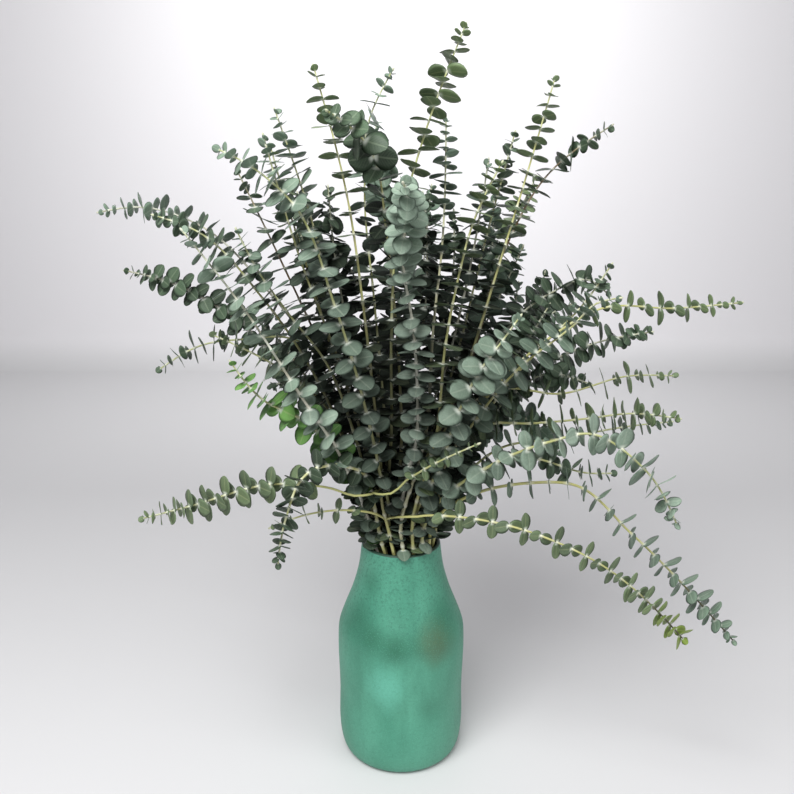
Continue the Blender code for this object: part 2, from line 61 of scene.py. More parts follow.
# How the stems stand in the bottle: each ring's radius in the neck and its number of places
NECK_HEIGHT = 254
NECK_RINGS = [(37, 21), (29, 17), (21, 12), (12, 7)]
FOOT_HEIGHT = 7.1
FOOT_SPREAD = 1.2
TWIST = math.radians(100)
LEAVE_HEIGHT = 266
FAN_FROM_HEIGHT = 100
FRONT_STEMS = {"crown_1": (-14, -76), "crown_3": (14, -76), "crown_7": (44, -62)}
COURSE_STEP = 5
STEM_APART = 7.0

# The places that each stem passes above the vase, out to its tip
STEMS = {
    "crown_1": [(-15, -40, 295), (-25, -70, 410), (-35, -85, 515), (-50, -80, 625), (-80, -60, 740)],
    "crown_2": [(-10, -60, 410), (-10, -70, 500), (-5, -60, 585), (20, -45, 680), (60, -20, 785)],
    "crown_3": [(25, -80, 410), (30, -80, 505), (40, -40, 585), (45, 10, 705)],
    "crown_4": [(0, -25, 400), (-5, -35, 495), (-15, -50, 595), (-25, -85, 660), (-60, -150, 690)],
    "crown_5": [(-20, 30, 410), (-30, 45, 520), (-40, 55, 640), (-35, 60, 710), (-10, 60, 760)],
    "crown_6": [(15, -100, 420), (10, -120, 510), (0, -135, 575), (5, -175, 615), (0, -225, 630)],
    "crown_7": [(35, -95, 415), (40, -110, 495), (50, -105, 550), (65, -95, 605), (90, -80, 655)],
    "crown_8": [(55, 20, 470), (75, 20, 565), (90, 20, 665)],
    "crown_9": [(65, 45, 465), (95, 50, 595), (120, 45, 695)],
    "crown_10": [(70, -30, 465), (100, -10, 560), (140, 25, 685), (160, 45, 750)],
    "crown_11": [(80, 40, 455), (115, 55, 575), (160, 60, 655), (225, 60, 705)],
    "crown_12": [(75, 70, 425), (100, 85, 515), (105, 90, 630)],
    "crown_13": [(15, 60, 425), (30, 80, 530), (25, 90, 635)],
    "crown_14": [(-40, 35, 375), (-60, 50, 485), (-75, 60, 575), (-80, 60, 640)],
    "crown_15": [(-20, 40, 370), (-35, 70, 485), (-55, 85, 545), (-80, 90, 585)],
    "crown_16": [(25, 35, 375), (45, 60, 475), (60, 80, 550), (60, 85, 615)],
    "left_1": [(-30, -85, 405), (-60, -120, 530), (-95, -125, 620), (-130, -120, 650), (-160, -110, 665)],
    "left_2": [(-65, 10, 415), (-130, 15, 570), (-170, 20, 655)],
    "left_3": [(-60, -20, 445), (-105, -20, 575), (-135, -20, 685)],
    "left_4": [(-60, 40, 440), (-105, 55, 630), (-135, 60, 720)],
    "left_5": [(-80, 25, 435), (-145, 35, 530), (-215, 35, 600), (-280, 35, 620), (-320, 30, 615)],
    "left_6": [(-85, -30, 440), (-140, -35, 530), (-200, -40, 595), (-240, -40, 610)],
    "left_7": [(-65, -90, 390), (-95, -105, 445), (-145, -100, 525), (-200, -90, 595)],
    "left_8": [(-115, 60, 415), (-185, 75, 490), (-260, 80, 535), (-315, 80, 550)],
    "left_9": [(-60, 20, 415), (-120, 25, 480), (-170, 20, 480), (-215, 10, 475), (-260, 0, 450)],
    "left_10": [(-65, -60, 375), (-100, -75, 415), (-135, -80, 435), (-165, -75, 470)],
    "left_11": [(-85, -20, 420), (-125, -25, 455), (-170, -25, 480), (-195, -20, 490)],
    "left_12": [(-50, -75, 365), (-75, -95, 375), (-95, -110, 365), (-110, -120, 330), (-120, -120, 280)],
    "left_13": [(-55, 0, 385), (-80, 5, 490), (-105, 15, 575), (-125, 20, 640), (-135, 20, 680)],
    "left_14": [(-50, -45, 395), (-75, -50, 465), (-115, -50, 520), (-140, -45, 555), (-160, -45, 595)],
    "right_1": [(40, -85, 375), (55, -110, 435), (70, -120, 470), (90, -125, 500), (105, -120, 520)],
    "right_2": [(105, 80, 420), (155, 100, 485), (170, 105, 545)],
    "right_3": [(90, 110, 410), (135, 135, 480), (145, 140, 530)],
    "right_4": [(105, 0, 420), (150, 0, 475), (190, -5, 520), (215, -10, 560)],
    "right_5": [(90, 50, 430), (130, 65, 495), (170, 70, 525), (215, 70, 540), (235, 65, 525)],
    "right_6": [(80, -45, 420), (150, -55, 495), (195, -50, 520), (275, -40, 520), (340, -35, 525)],
    "right_7": [(70, -65, 405), (115, -85, 470), (160, -95, 510), (180, -95, 530), (200, -95, 535)],
    "right_8": [(90, 50, 370), (150, 70, 430), (220, 75, 465), (290, 75, 480)],
    "right_9": [(70, 10, 405), (110, 15, 425), (175, 15, 420), (250, 15, 440), (300, 15, 440)],
    "right_10": [(75, -45, 400), (135, -55, 405), (190, -55, 410), (230, -55, 415), (280, -55, 410)],
    "right_11": [(115, 40, 350), (185, 45, 360), (265, 45, 375), (310, 45, 380)],
    "right_12": [(90, -95, 375), (140, -120, 405), (170, -130, 415), (220, -140, 385), (255, -140, 330)],
    "right_13": [(95, -35, 355), (130, -45, 365), (195, -50, 350), (220, -50, 350)],
    "right_14": [(75, -70, 335), (130, -80, 350), (170, -85, 350), (230, -90, 300), (345, -90, 180)],
    "right_15": [(70, 10, 380), (105, 20, 435), (140, 25, 480), (160, 25, 515)],
    "right_16": [(60, 25, 345), (115, 45, 400), (165, 50, 435), (215, 45, 425)],
    "back_1": [(20, 120, 440), (30, 180, 560), (40, 215, 650)],
    "back_2": [(-60, 110, 440), (-100, 160, 560), (-130, 190, 640)],
    "back_3": [(-110, 110, 410), (-180, 160, 480), (-240, 190, 500)],
    "back_4": [(110, 120, 410), (180, 180, 480), (230, 210, 500)],
    "back_5": [(-10, 140, 390), (-20, 220, 430), (-30, 290, 400)],
    "back_6": [(80, 110, 460), (130, 160, 580), (170, 190, 660)],
    "back_7": [(-80, 90, 380), (-130, 140, 410), (-170, 170, 395)],
    "back_8": [(95, 95, 350), (155, 145, 360), (215, 185, 300)],
    "back_9": [(-10, 90, 480), (-20, 120, 610), (-30, 130, 720)],
    "back_10": [(-30, 55, 370), (-65, 95, 455), (-100, 115, 530), (-120, 120, 595)],
    "back_11": [(45, 55, 370), (85, 95, 455), (120, 115, 520), (145, 120, 575)],
}

# The stems whose leaves aren't blue, by tint
TINTS = {
    "olive": "crown_1 crown_2 crown_7 crown_10 left_11 left_13 right_6 right_9 right_10 back_6",
    "dark": (
        "crown_4 crown_9 crown_11 crown_13 crown_14 crown_15 crown_16 left_2 left_6 left_8 left_9 left_12 "
        "right_2 right_4 right_5 right_8 right_11 right_13 right_15 right_16 back_2 back_5 back_7 back_10"
    ),
    "young": "left_10",
}

# What sets a stem apart, here as most stems are
PLAIN_LOOK = dict(
    leaf=20.5,  # a full leaf's length
    wide=1,  # its width to its length
    bloom=0.35,  # the pale wax on it, from 0 to 1
    hang=0.08,  # how far leaves hang
    bark=0.1,  # yellow at 0, pale at 0.5 and brown at 1
    gap=0.85,  # how far apart its joints are, to the usual gaps
    loose=1,  # how unevenly its leaves point
    face=0.15,  # how far its leaves turn to face the front
    level=0.1,  # how far its leaves turn level
    bare=0,  # the length without leaves at its start
    full=50,  # how far from the tip leaves reach their full length
    sprout=0,  # how yellow-green its tip is
)

BEHIND_LOOK = dict(leaf=23, bloom=0.2, bark=0.35, gap=0.56, loose=1.8, face=0.65)

# The stems behind the others, by how their names begin
BEHIND = (
    "back", "crown_12", "crown_13", "crown_14", "crown_15", "crown_16",
    "right_2", "right_3", "right_5", "right_8", "right_15", "right_16",
)

# What sets single stems apart from the plain look
LOOKS = {
    "crown_1": dict(gap=1.05, face=0, level=0.8, loose=0.5),
    "crown_2": dict(leaf=21.5, bloom=0.15, gap=0.9, face=0, level=0.8, loose=0.6),
    "crown_3": dict(leaf=18, bloom=0.5, bark=0.3, gap=0.75, face=0, level=0.8, loose=0.6),
    "crown_4": dict(leaf=23, bloom=0.05, gap=0.85),
    "crown_5": dict(gap=0.9),
    "crown_6": dict(leaf=18, bloom=0.95, bark=0.5, gap=0.55, face=0.15, level=0.3),
    "crown_7": dict(bloom=0.1, bark=0, gap=0.95, face=0, level=0.8, loose=0.6),
    "crown_8": dict(bark=0.5, gap=0.75),
    "crown_9": dict(gap=0.72),
    "crown_10": dict(leaf=18.5, bark=0, gap=1.1, loose=0.5),
    "crown_11": dict(bark=1, bloom=0.1, gap=0.95),
    "left_1": dict(bloom=0.5, gap=0.9, face=0.5),
    "left_2": dict(bark=1, gap=1),
    "left_3": dict(leaf=22, gap=0.8),
    "left_4": dict(leaf=22, gap=0.75),
    "left_5": dict(leaf=19, bark=0.6, face=0, loose=0.35),
    "left_7": dict(bloom=0.8, bark=0.5),
    "left_8": dict(leaf=20, bloom=0.1, bark=0.8, gap=0.62, face=2, loose=0.8),
    "left_9": dict(face=0, loose=0.7),
    "left_10": dict(leaf=21, bloom=0, bark=0, gap=0.72, face=0.5),
    "left_11": dict(face=0, loose=0.7),
    "left_12": dict(leaf=18, bloom=0.1, hang=0.4, gap=0.66, face=0.5),
    "right_1": dict(leaf=23, bloom=0.7, face=0.9),
    "right_6": dict(leaf=17, wide=0.75, bloom=0.2, bark=0, gap=1.05, face=-0.1, loose=0.2),
    "right_9": dict(leaf=19, wide=0.85, gap=1, face=0, loose=0.5),
    "right_10": dict(bloom=0.2, bark=0, gap=0.85, face=0, loose=0.7),
    "right_12": dict(bloom=0.9, hang=0.3, face=0.5),
    "right_14": dict(leaf=18, wide=0.85, bloom=0.3, hang=0.3, bark=0.1, gap=0.85, loose=0.4),
}

# Side branches: the stem they grow from, the height of the joint, the places that they pass and their looks
BRANCHES = [
    (
        "crown_1", 325, [(-60, -70, 340), (-130, -100, 355), (-205, -105, 335), (-255, -100, 320)],
        dict(leaf=19.5, gap=0.66, bare=80, level=0, face=1),
    ),
    (
        "crown_1", 325, [(-5, -75, 345), (35, -105, 380), (70, -115, 400)],
        dict(leaf=12, gap=1.15, bare=50, level=0, face=0.2),
    ),
    (
        "crown_1", 295, [(-55, -65, 315), (-100, -80, 315), (-130, -85, 305)],
        dict(leaf=14, gap=1.3, bare=40, level=0),
    ),
    (
        "crown_1", 295, [(40, -80, 315), (110, -110, 315), (180, -125, 290), (280, -120, 200)],
        dict(
            leaf=16.5, wide=0.8, bark=0.05, hang=0.12, gap=0.8, bare=58, level=0, face=1.2, full=11,
            sprout=2.2,
        ),
    ),
]

# How stems are bent clear of each other: how far along its start a stem or a branch holds its place, what
# lifts a branch's start, the rounds of pushes and how many points a push is spread over
STEM_HELD = 60
BRANCH_HELD = 30
BRANCH_LIFT = (0, 0, 25)
BEND_ROUNDS = 60
PUSH_POINTS = 17

STEM_RADIUS_FOOT = 1.5
STEM_RADIUS_NECK = 1.85
STEM_RADIUS_TIP = 0.7
BRANCH_RADIUS = 1.3
SWELLING = 0.45
LOWEST_JOINT = 252
LEVEL_UP_TO = 424
TO_FRONT = (0, -1, 0.25)

# The leaf that hangs out over the bottle's rim: its stem, its joint's height, its length and its direction
RIM_LEAF = ("crown_3", 259, 16, (0.1, -0.86, -0.34))

# The first points of that stem's course, over which its height only grows
RISING_POINTS = 80

# How leaves are set clear of each other: the rounds, how near two joints, or a joint and a stem, have to be
# to be looked at, a leaf as a disc in shares of its length, and the cuts at which a leaf is left out
SETTLE_ROUNDS = 14
JOINTS_NEAR = 38
STEM_NEAR = 24
DISC_MIDDLE = 0.55
DISC_RADIUS = 0.42
TOO_MANY_CUTS = 5

# How far from the tip what marks a young tip fades: leaves that rise, fresh colour and yellow-green colour
RISE_FADE = 9
FRESH_FADE = 60
SPROUT_FADE = 45
SEED = 11

# Each stem's materials, by slot
LEAF_SLOT = 0
BARK_SLOT = 1
BUD_SIDES = 7


def straight_in_bottle(place, height):
    """Where the stem in this place is at a height: on the line from its turned, spread foot to the neck."""
    radius, angle = place
    neck = np.array([radius * math.cos(angle), radius * math.sin(angle), NECK_HEIGHT])
    foot_radius = radius * FOOT_SPREAD
    foot_angle = angle + TWIST
    foot = np.array([foot_radius * math.cos(foot_angle), foot_radius * math.sin(foot_angle), FOOT_HEIGHT])
    share = (height - FOOT_HEIGHT) / (NECK_HEIGHT - FOOT_HEIGHT)
    return foot + (neck - foot) * share


def places_in_neck():
    """Each stem's (ring radius, angle) in the neck.

    Stems trade places for as long as that brings two of them nearer to where their straight lines to the
    first place that they pass cross the neck.
    """
    names = list(STEMS)
    spots = []
    for name in names:
        x, y, z = STEMS[name][0]
        share = (NECK_HEIGHT - FAN_FROM_HEIGHT) / (z - FAN_FROM_HEIGHT)
        spots.append(FRONT_STEMS.get(name, (x * share, y * share)))
    places = [(radius, 2 * math.pi * index / count) for radius, count in NECK_RINGS for index in range(count)]
    corners = [(radius * math.cos(angle), radius * math.sin(angle)) for radius, angle in places]
    far = [[math.dist(spot, corner) ** 2 for corner in corners] for spot in spots]
    taken = list(range(len(names)))
    better = True
    while better:
        better = False
        for one, other in itertools.combinations(range(len(names)), 2):
            now = far[one][taken[one]] + far[other][taken[other]]
            if far[one][taken[other]] + far[other][taken[one]] < now - 1e-6:
                taken[one], taken[other] = taken[other], taken[one]
                better = True
    return {name: places[slot] for name, slot in zip(names, taken)}


def cubic(knots, gaps, slopes, count):
    """Evenly spread points on the cubic through knots that are the given gaps apart, with a slope at each."""
    lengths = np.concatenate([[0], np.cumsum(gaps)])
    at = np.linspace(0, lengths[-1], count)
    span = np.clip(np.searchsorted(lengths, at, side="right") - 1, 0, len(gaps) - 1)
    gap = gaps[span][:, None]
    t = ((at - lengths[span]) / gaps[span])[:, None]
    return (
        (1 + 2 * t) * (1 - t) ** 2 * knots[span] + t * (1 - t) ** 2 * gap * slopes[span]
        + t * t * (3 - 2 * t) * knots[span + 1] + t * t * (t - 1) * gap * slopes[span + 1]
    )


def chords(knots):
    """The knots as an array, how far apart they are, and the slopes of the chords between them."""
    knots = np.array(knots, float)
    gaps = np.linalg.norm(np.diff(knots, axis=0), axis=1)
    return knots, gaps, np.diff(knots, axis=0) / gaps[:, None]


def smooth_course(knots, heading):
    """Points a step apart on the curve that leaves the first knot along a heading and passes the others.

    The slope at a knot is the mean of the chords on both sides, each weighed by the other's length.
    """
    knots, gaps, secants = chords(knots)
    slopes = np.empty_like(knots)
    slopes[0] = heading / np.linalg.norm(heading)
    before, after = gaps[:-1, None], gaps[1:, None]
    slopes[1:-1] = (secants[:-1] * after + secants[1:] * before) / (before + after)
    slopes[-1] = 1.5 * secants[-1] - 0.5 * slopes[-2]
    return cubic(knots, gaps, slopes, int(np.cumsum(gaps)[-1] / COURSE_STEP) + 1)


def near_pairs(points, owner, distance):
    """The pairs of points of two owners that are nearer than the distance, found in the order of height."""
    order = np.argsort(points[:, 2], kind="stable")
    ranked, owned = points[order], owner[order]
    lower, upper = [], []
    for shift in range(1, len(points)):
        away = ranked[shift:] - ranked[:-shift]
        level = away[:, 2] < distance
        if not level.any():
            break
        near = level & ((away ** 2).sum(axis=1) < distance ** 2) & (owned[shift:] != owned[:-shift])
        hits = np.nonzero(near)[0]
        lower.append(order[hits])
        upper.append(order[hits + shift])
    return np.concatenate(lower), np.concatenate(upper)


def bend_clear(courses, owners, held, rounds):
    """Pushes points of two owners apart by half of what they lack of STEM_APART, over and over.

    The push is spread along each stem by a squared cosine, and nothing moves where held is 1.
    """
    counts = [len(course) for course in courses]
    points = np.concatenate(courses)
    owner = np.repeat(owners, counts)
    free = 1 - np.concatenate(held)
    starts = np.cumsum([0] + counts)
    spread = np.cos(np.linspace(-math.pi / 2, math.pi / 2, PUSH_POINTS)) ** 2
    for _ in range(rounds):
        lower, upper = near_pairs(points, owner, STEM_APART)
        if not len(lower):
            break
        away = points[lower] - points[upper]
        distance = np.linalg.norm(away, axis=1)[:, None] + 1e-6
        push = away / distance * (STEM_APART - distance) * 0.5
        moves = np.zeros_like(points)
        np.add.at(moves, lower, push)
        np.add.at(moves, upper, -push)
        both = np.concatenate([lower, upper])
        pushed = np.bincount(both, minlength=len(points)).astype(float)
        moves /= np.maximum(pushed, 1)[:, None]
        active = (pushed > 0).astype(float)
        for start, end in zip(starts[:-1], starts[1:]):
            weight = np.maximum(np.convolve(active[start:end], spread, "same"), 1)
            for axis in range(3):
                eased = np.convolve(moves[start:end, axis], spread, "same") / weight
                points[start:end, axis] += eased * free[start:end]
    return [points[start:end] for start, end in zip(starts[:-1], starts[1:])]


def fading(count, length):
    """1 at the first point, falling smoothly to 0 at the given length along a course."""
    share = np.clip(np.arange(count) * COURSE_STEP / length, 0, 1)
    return 1 - share * share * (3 - 2 * share)


def all_courses(places):
    """The course of each stem above the vase, and of each side branch, all clear of each other."""
    names = list(STEMS)
    courses = []
    for name in names:
        leave = straight_in_bottle(places[name], LEAVE_HEIGHT)
        heading = leave - straight_in_bottle(places[name], 0)
        courses.append(smooth_course([leave] + STEMS[name], heading))
    held = [fading(len(course), STEM_HELD) for course in courses]
    stems = dict(zip(names, bend_clear(courses, list(range(len(names))), held, BEND_ROUNDS)))
    side = []
    for parent, height, passes, _ in BRANCHES:
        course = stems[parent]
        joint = course[np.argmin(abs(course[:, 2] - height))]
        side.append(smooth_course([joint] + passes, np.array(passes[0]) - joint + BRANCH_LIFT))
    owners = list(range(len(names))) + [names.index(row[0]) for row in BRANCHES]
    held = [np.ones(len(stems[name])) for name in names]
    held += [fading(len(course), BRANCH_HELD) for course in side]
    moved = bend_clear([stems[name] for name in names] + side, owners, held, BEND_ROUNDS)
    return dict(zip(names, moved)), moved[len(names):]


def unit(vectors):
    """The vectors made one long."""
    return vectors / np.linalg.norm(vectors, axis=-1, keepdims=True)


def closed_faces(rings, around):
    """Quads between neighbouring rings, and triangles from the end rings to the two poles.

    Vertex 0 is the first pole, then come the rings, each turning left-handed seen from the first pole, and
    the second pole is last.
    """
    ring = 1 + np.arange(rings)[:, None] * around + np.arange(around)
    after = np.roll(ring, -1, axis=1)
    quads = np.stack([ring[:-1], after[:-1], after[1:], ring[1:]], axis=-1).reshape(-1, 4)
    last = np.full(around, rings * around + 1)
    start = np.stack([0 * last, after[0], ring[0]], axis=-1)
    end = np.stack([last, ring[-1], after[-1]], axis=-1)
    return quads, np.concatenate([start, end])


def with_poles(first, rings, last):
    """One row of vertices for each shape of a batch: the first pole, the rings and the last pole."""
    batch = rings.shape[0]
    return np.concatenate([first[:, None], rings.reshape(batch, -1, rings.shape[-1]), last[:, None]], axis=1)


class Shapes:
    """Vertices, faces, UVs and tones gathered from several batches for one mesh."""

    def __init__(self):
        self.points, self.flat, self.tone = [], [], []
        self.quads, self.triangles, self.quad_paint, self.triangle_paint = [], [], [], []
        self.count = 0

    def add(self, points, flat, tone, faces, paint):
        """Adds a batch of alike shapes: (shape, vertex, 3) points, with two-part UVs and four-part tones."""
        shapes, each = points.shape[:2]
        offset = self.count + each * np.arange(shapes)[:, None, None]
        stocks = ((self.quads, self.quad_paint), (self.triangles, self.triangle_paint))
        for found, (stock, paints) in zip(faces, stocks):
            moved = (found[None] + offset).reshape(-1, found.shape[1])
            stock.append(moved)
            paints.append(np.full(len(moved), paint))
        self.points.append(points.reshape(-1, 3))
        self.flat.append(np.broadcast_to(flat, (shapes, each, 2)).reshape(-1, 2))
        self.tone.append(np.broadcast_to(tone, (shapes, each, 4)).reshape(-1, 4))
        self.count += shapes * each

    def mesh(self, name, materials):
        """The gathered shapes as one smooth mesh, in metres."""
        points = np.concatenate(self.points) * MM
        quads, triangles = np.concatenate(self.quads), np.concatenate(self.triangles)
        corners = np.concatenate([quads.ravel(), triangles.ravel()]).astype(np.int32)
        starts = np.concatenate([
            np.arange(len(quads)) * 4, quads.size + np.arange(len(triangles)) * 3,
        ]).astype(np.int32)
        paint = np.concatenate(self.quad_paint + self.triangle_paint).astype(np.int32)
        mesh = bpy.data.meshes.new(name)
        mesh.vertices.add(len(points))
        mesh.vertices.foreach_set("co", points.astype(np.float32).ravel())
        mesh.loops.add(len(corners))
        mesh.loops.foreach_set("vertex_index", corners)
        mesh.polygons.add(len(starts))
        mesh.polygons.foreach_set("loop_start", starts)
        mesh.polygons.foreach_set("material_index", paint)
        mesh.polygons.foreach_set("use_smooth", np.ones(len(starts), bool))
        flat = mesh.uv_layers.new(name="surface")
        flat.data.foreach_set("uv", np.concatenate(self.flat)[corners].astype(np.float32).ravel())
        tone = mesh.attributes.new("tone", "FLOAT_COLOR", "POINT")
        tone.data.foreach_set("color", np.concatenate(self.tone).astype(np.float32).ravel())
        mesh.update(calc_edges=True)
        mesh.validate()
        for material in materials:
            mesh.materials.append(material)
        return mesh


def put(mesh, node):
    """Places a mesh at the origin as the finished piece for a CAD node."""
    piece = bpy.data.objects.new(mesh.name, mesh)
    bpy.context.scene.collection.objects.link(piece)
    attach(piece, "root")
    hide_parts(node)


# Leaves

LEAF_ALONG = np.array([0.03, 0.12, 0.28, 0.48, 0.68, 0.85, 0.96])
LEAF_ACROSS = np.array([1, 0.55, 0, -0.55, -1, -0.55, 0, 0.55])
LEAF_SIDE = np.array([0, 1, 1, 1, 0, -1, -1, -1])
LEAF_FACES = closed_faces(len(LEAF_ALONG), len(LEAF_ACROSS))
LEAF_HALF_THICK = 0.24


def leaf_outline(along):
    """Half the width at a share of the length: half an ellipse at the base, and a sharper one to the tip."""
    base = along < 0.46
    away = abs(along - 0.46) / np.where(base, 0.485, 0.54)
    return (1 - away ** 2) ** np.where(base, 0.5, 0.6)


def joints_from_tip(length, gap):
    """How far each leaf joint is from the tip.

    The usual gaps grow quickly from 9 mm to 18.5 mm and slowly from there, and the look's gap scales them.
    """
    found, at = [2.5], 8.0
    while at < length:
        found.append(at)
        at += gap * min(9.0 + 0.075 * at, 16.0 + 0.02 * at)
    return np.array(found)


def read_off(rows, steps, at):
    """The rows that lie at steps along a line, read off at other distances along it."""
    return np.stack([np.interp(at, steps, rows[:, part]) for part in range(rows.shape[1])], axis=-1)


def frames_on(course, from_tip):
    """Places at distances from a course's tip, with the stem's direction there and a level one across it."""
    steps = np.arange(len(course)) * COURSE_STEP
    at = steps[-1] - from_tip
    along = unit(read_off(np.gradient(course, axis=0), steps, at))
    side = np.cross((0, 0, 1), course[-1] - course[0] + (1e-3, 0, 0))
    side = unit(side - along * (along @ side)[:, None])
    return read_off(course, steps, at), along, side


def leaves_of(course, bare, look, draw):
    """Every leaf of a course in rows of numbers, two at a joint, each joint a quarter turned from the last.

    Leaves stand square to the stem, and rise along it only near the tip, where they also are small. Low in
    the bunch they face up more, and those in front are smaller and fewer, so that the stems show. A tone's
    four numbers are the leaf's own draw, its youth, its bloom and its painted shade: how deep in the bunch it
    is, going below 0 as painted light on leaves high up or far out.
    """
    from_tip = joints_from_tip((len(course) - 1) * COURSE_STEP - bare, look["gap"])
    count = len(from_tip)
    place, along, side = frames_on(course, from_tip)
    height, away = place[:, 2], np.hypot(place[:, 0], place[:, 1])
    turn = draw.uniform(-0.35, 0.35) + np.arange(count) * math.pi / 2 + draw.normal(0, 0.1, count)
    turn = np.stack([turn, turn + math.pi + draw.normal(0, 0.08, count)], axis=1)
    young = np.broadcast_to(np.exp(-from_tip / RISE_FADE)[:, None], (count, 2))
    size = look["leaf"] * np.minimum(1, 0.3 + 0.7 * (from_tip / look["full"]) ** 0.8)[:, None]
    low = np.clip((LEVEL_UP_TO - height) / (LEVEL_UP_TO - VASE_HEIGHT), 0, 1)
    level = look["level"] + 2.5 * low * np.clip(1.8 - away / 60, 0, 1)
    front = low * np.clip((-10 - place[:, 1]) / 25, 0, 1) * np.clip((115 - away) / 40, 0, 1)
    size *= (1 - 0.22 * front)[:, None]
    tilt = look["face"] * (1 - np.exp(-2 * from_tip / look["full"]))[:, None] * np.array(TO_FRONT)
    loose = 0.2 * look["loose"] * (1 + np.clip((height - 470) / 150, 0, 1))
    tilt = tilt + draw.normal(0, 1, (count, 3)) * loose[:, None] + level[:, None] * np.array([0, 0, 1])
    spread = 45 + 0.75 * np.clip(height - VASE_HEIGHT, 0, 190)
    # Painted shade and light: leaves deep in the bunch are darkened, and those high up or far out are
    # lightened instead
    painted_light = np.clip(np.maximum((height - 560) / 120, (away - 190) / 100), 0, 1)
    painted_shade = np.clip(2.6 - 3.4 * away / spread, 0, 1) * (1 - painted_light) - 0.3 * painted_light
    youth = np.exp(-from_tip / FRESH_FADE) + look["sprout"] * np.exp(-from_tip / SPROUT_FADE)
    rise = 0.04 + 0.95 * young + draw.normal(0, 0.06 * look["loose"], (count, 2))
    return {
        "base": np.repeat(place, 2, axis=0), "along": np.repeat(along, 2, axis=0),
        "side": np.repeat(side, 2, axis=0), "turn": turn.ravel(), "rise": rise.ravel(),
        "roll": draw.normal(0, 0.08 * look["loose"], 2 * count), "hang": (look["hang"] * (1 - young)).ravel(),
        "size": (size * draw.uniform(0.88, 1.08, (count, 2))).ravel(),
        "wide": np.full(2 * count, look["wide"]), "joint": np.repeat(np.arange(count), 2),
        "tilt": np.repeat(tilt, 2, axis=0), "sparse": np.repeat(draw.uniform(0, 1, count) < 0.4 * front, 2),
        "tone": np.stack([
            draw.uniform(0, 1, 2 * count), np.repeat(youth, 2), np.full(2 * count, look["bloom"]),
            np.repeat(painted_shade, 2),
        ], axis=-1),
    }


def set_directions(leaves):
    """Works out each leaf's three directions: out along it, across it and up from its face."""
    along = unit(leaves["along"] + leaves["tilt"])
    side = leaves["side"] - along * (along * leaves["side"]).sum(axis=-1, keepdims=True)
    side = unit(side + 1e-6)
    turn, rise, roll, hang = (leaves[key][:, None] for key in ("turn", "rise", "roll", "hang"))
    radial = side * np.cos(turn) + np.cross(side, along) * np.sin(turn)
    axis = unit(radial * np.cos(rise) + along * np.sin(rise) + hang * np.array([0, 0, -1]))
    normal = along - radial * 0.15
    normal = unit(normal - axis * (normal * axis).sum(axis=-1, keepdims=True))
    across = np.cross(normal, axis)
    leaves["axis"] = axis
    leaves["normal"] = normal * np.cos(roll) - across * np.sin(roll)
    leaves["across"] = across * np.cos(roll) + normal * np.sin(roll)


def discs_meet(centre_a, normal_a, radius_a, centre_b, normal_b, radius_b):
    """Whether round discs cut each other: their chords on the line where their planes meet overlap."""
    line = np.cross(normal_a, normal_b)
    sine = np.linalg.norm(line, axis=-1) + 1e-6
    line /= sine[:, None]
    gap = centre_b - centre_a
    off_a, off_b = (gap * normal_b).sum(axis=-1) / sine, (gap * normal_a).sum(axis=-1) / sine
    chord_a, chord_b = radius_a ** 2 - off_a ** 2, radius_b ** 2 - off_b ** 2
    both = (chord_a > 0) & (chord_b > 0)
    return both & (abs((gap * line).sum(axis=-1)) < np.sqrt(chord_a.clip(0)) + np.sqrt(chord_b.clip(0)))


def line_meets(start, end, centre, normal, radius):
    """Whether a straight bit of stem passes through a round disc."""
    low, high = ((start - centre) * normal).sum(axis=-1), ((end - centre) * normal).sum(axis=-1)
    share = low / np.where(abs(low - high) < 1e-6, 1e-6, low - high)
    hit = start + (end - start) * share[:, None]
    return (low * high < 0) & (np.linalg.norm(hit - centre, axis=-1) < radius)


def settle(leaves, lines, draw):
    """Turns, lifts and rolls leaves that cut others or a stem, over and over, and keeps what helps.

    A leaf counts as a round disc here. It returns how many things each leaf still cuts.
    """
    count, line = len(leaves["size"]), leaves["line"]
    first, second = near_pairs(leaves["base"], line * 1000 + leaves["joint"], JOINTS_NEAR)
    starts = np.concatenate([course[:-1] for course in lines])
    ends = np.concatenate([course[1:] for course in lines])
    stem = np.repeat(np.arange(len(lines)), [len(course) - 1 for course in lines])
    gaps = np.linalg.norm(leaves["base"][:, None] - starts[None], axis=-1)
    leaf, bit = np.nonzero((gaps < STEM_NEAR) & (line[:, None] != stem[None]))

    def discs(found):
        """The middles, facings and radii of the leaves as discs."""
        middle = found["base"] + found["axis"] * (found["size"] * DISC_MIDDLE)[:, None]
        return [middle, found["normal"], found["size"] * DISC_RADIUS]

    def cuts(own, other):
        """How many of the other discs and of the stems each own disc cuts, with a stem counted twice."""
        met = discs_meet(*(rows[first] for rows in own), *(rows[second] for rows in other))
        back = discs_meet(*(rows[second] for rows in own), *(rows[first] for rows in other))
        stems = line_meets(starts[bit], ends[bit], *(rows[leaf] for rows in own))
        weighed = [(first, met), (second, back), (leaf, stems * 2)]
        return sum(np.bincount(rows, weights=hits, minlength=count) for rows, hits in weighed)

    set_directions(leaves)
    for _ in range(SETTLE_ROUNDS):
        now = discs(leaves)
        cost = cuts(now, now)
        moving = (cost > 0) & (draw.uniform(0, 1, count) < 0.6)
        trial = dict(leaves)
        for key, spread in (("turn", 0.3), ("rise", 0.22), ("roll", 0.25)):
            trial[key] = leaves[key] + np.where(moving, draw.normal(0, spread, count), 0)
        trial["rise"] = trial["rise"].clip(-0.35, 1.2)
        trial["roll"] = trial["roll"].clip(-0.6, 0.6)
        set_directions(trial)
        better = cuts(discs(trial), now) < cost
        for key in ("turn", "rise", "roll"):
            leaves[key] = np.where(better, trial[key], leaves[key])
        set_directions(leaves)
    now = discs(leaves)
    return cuts(now, now)


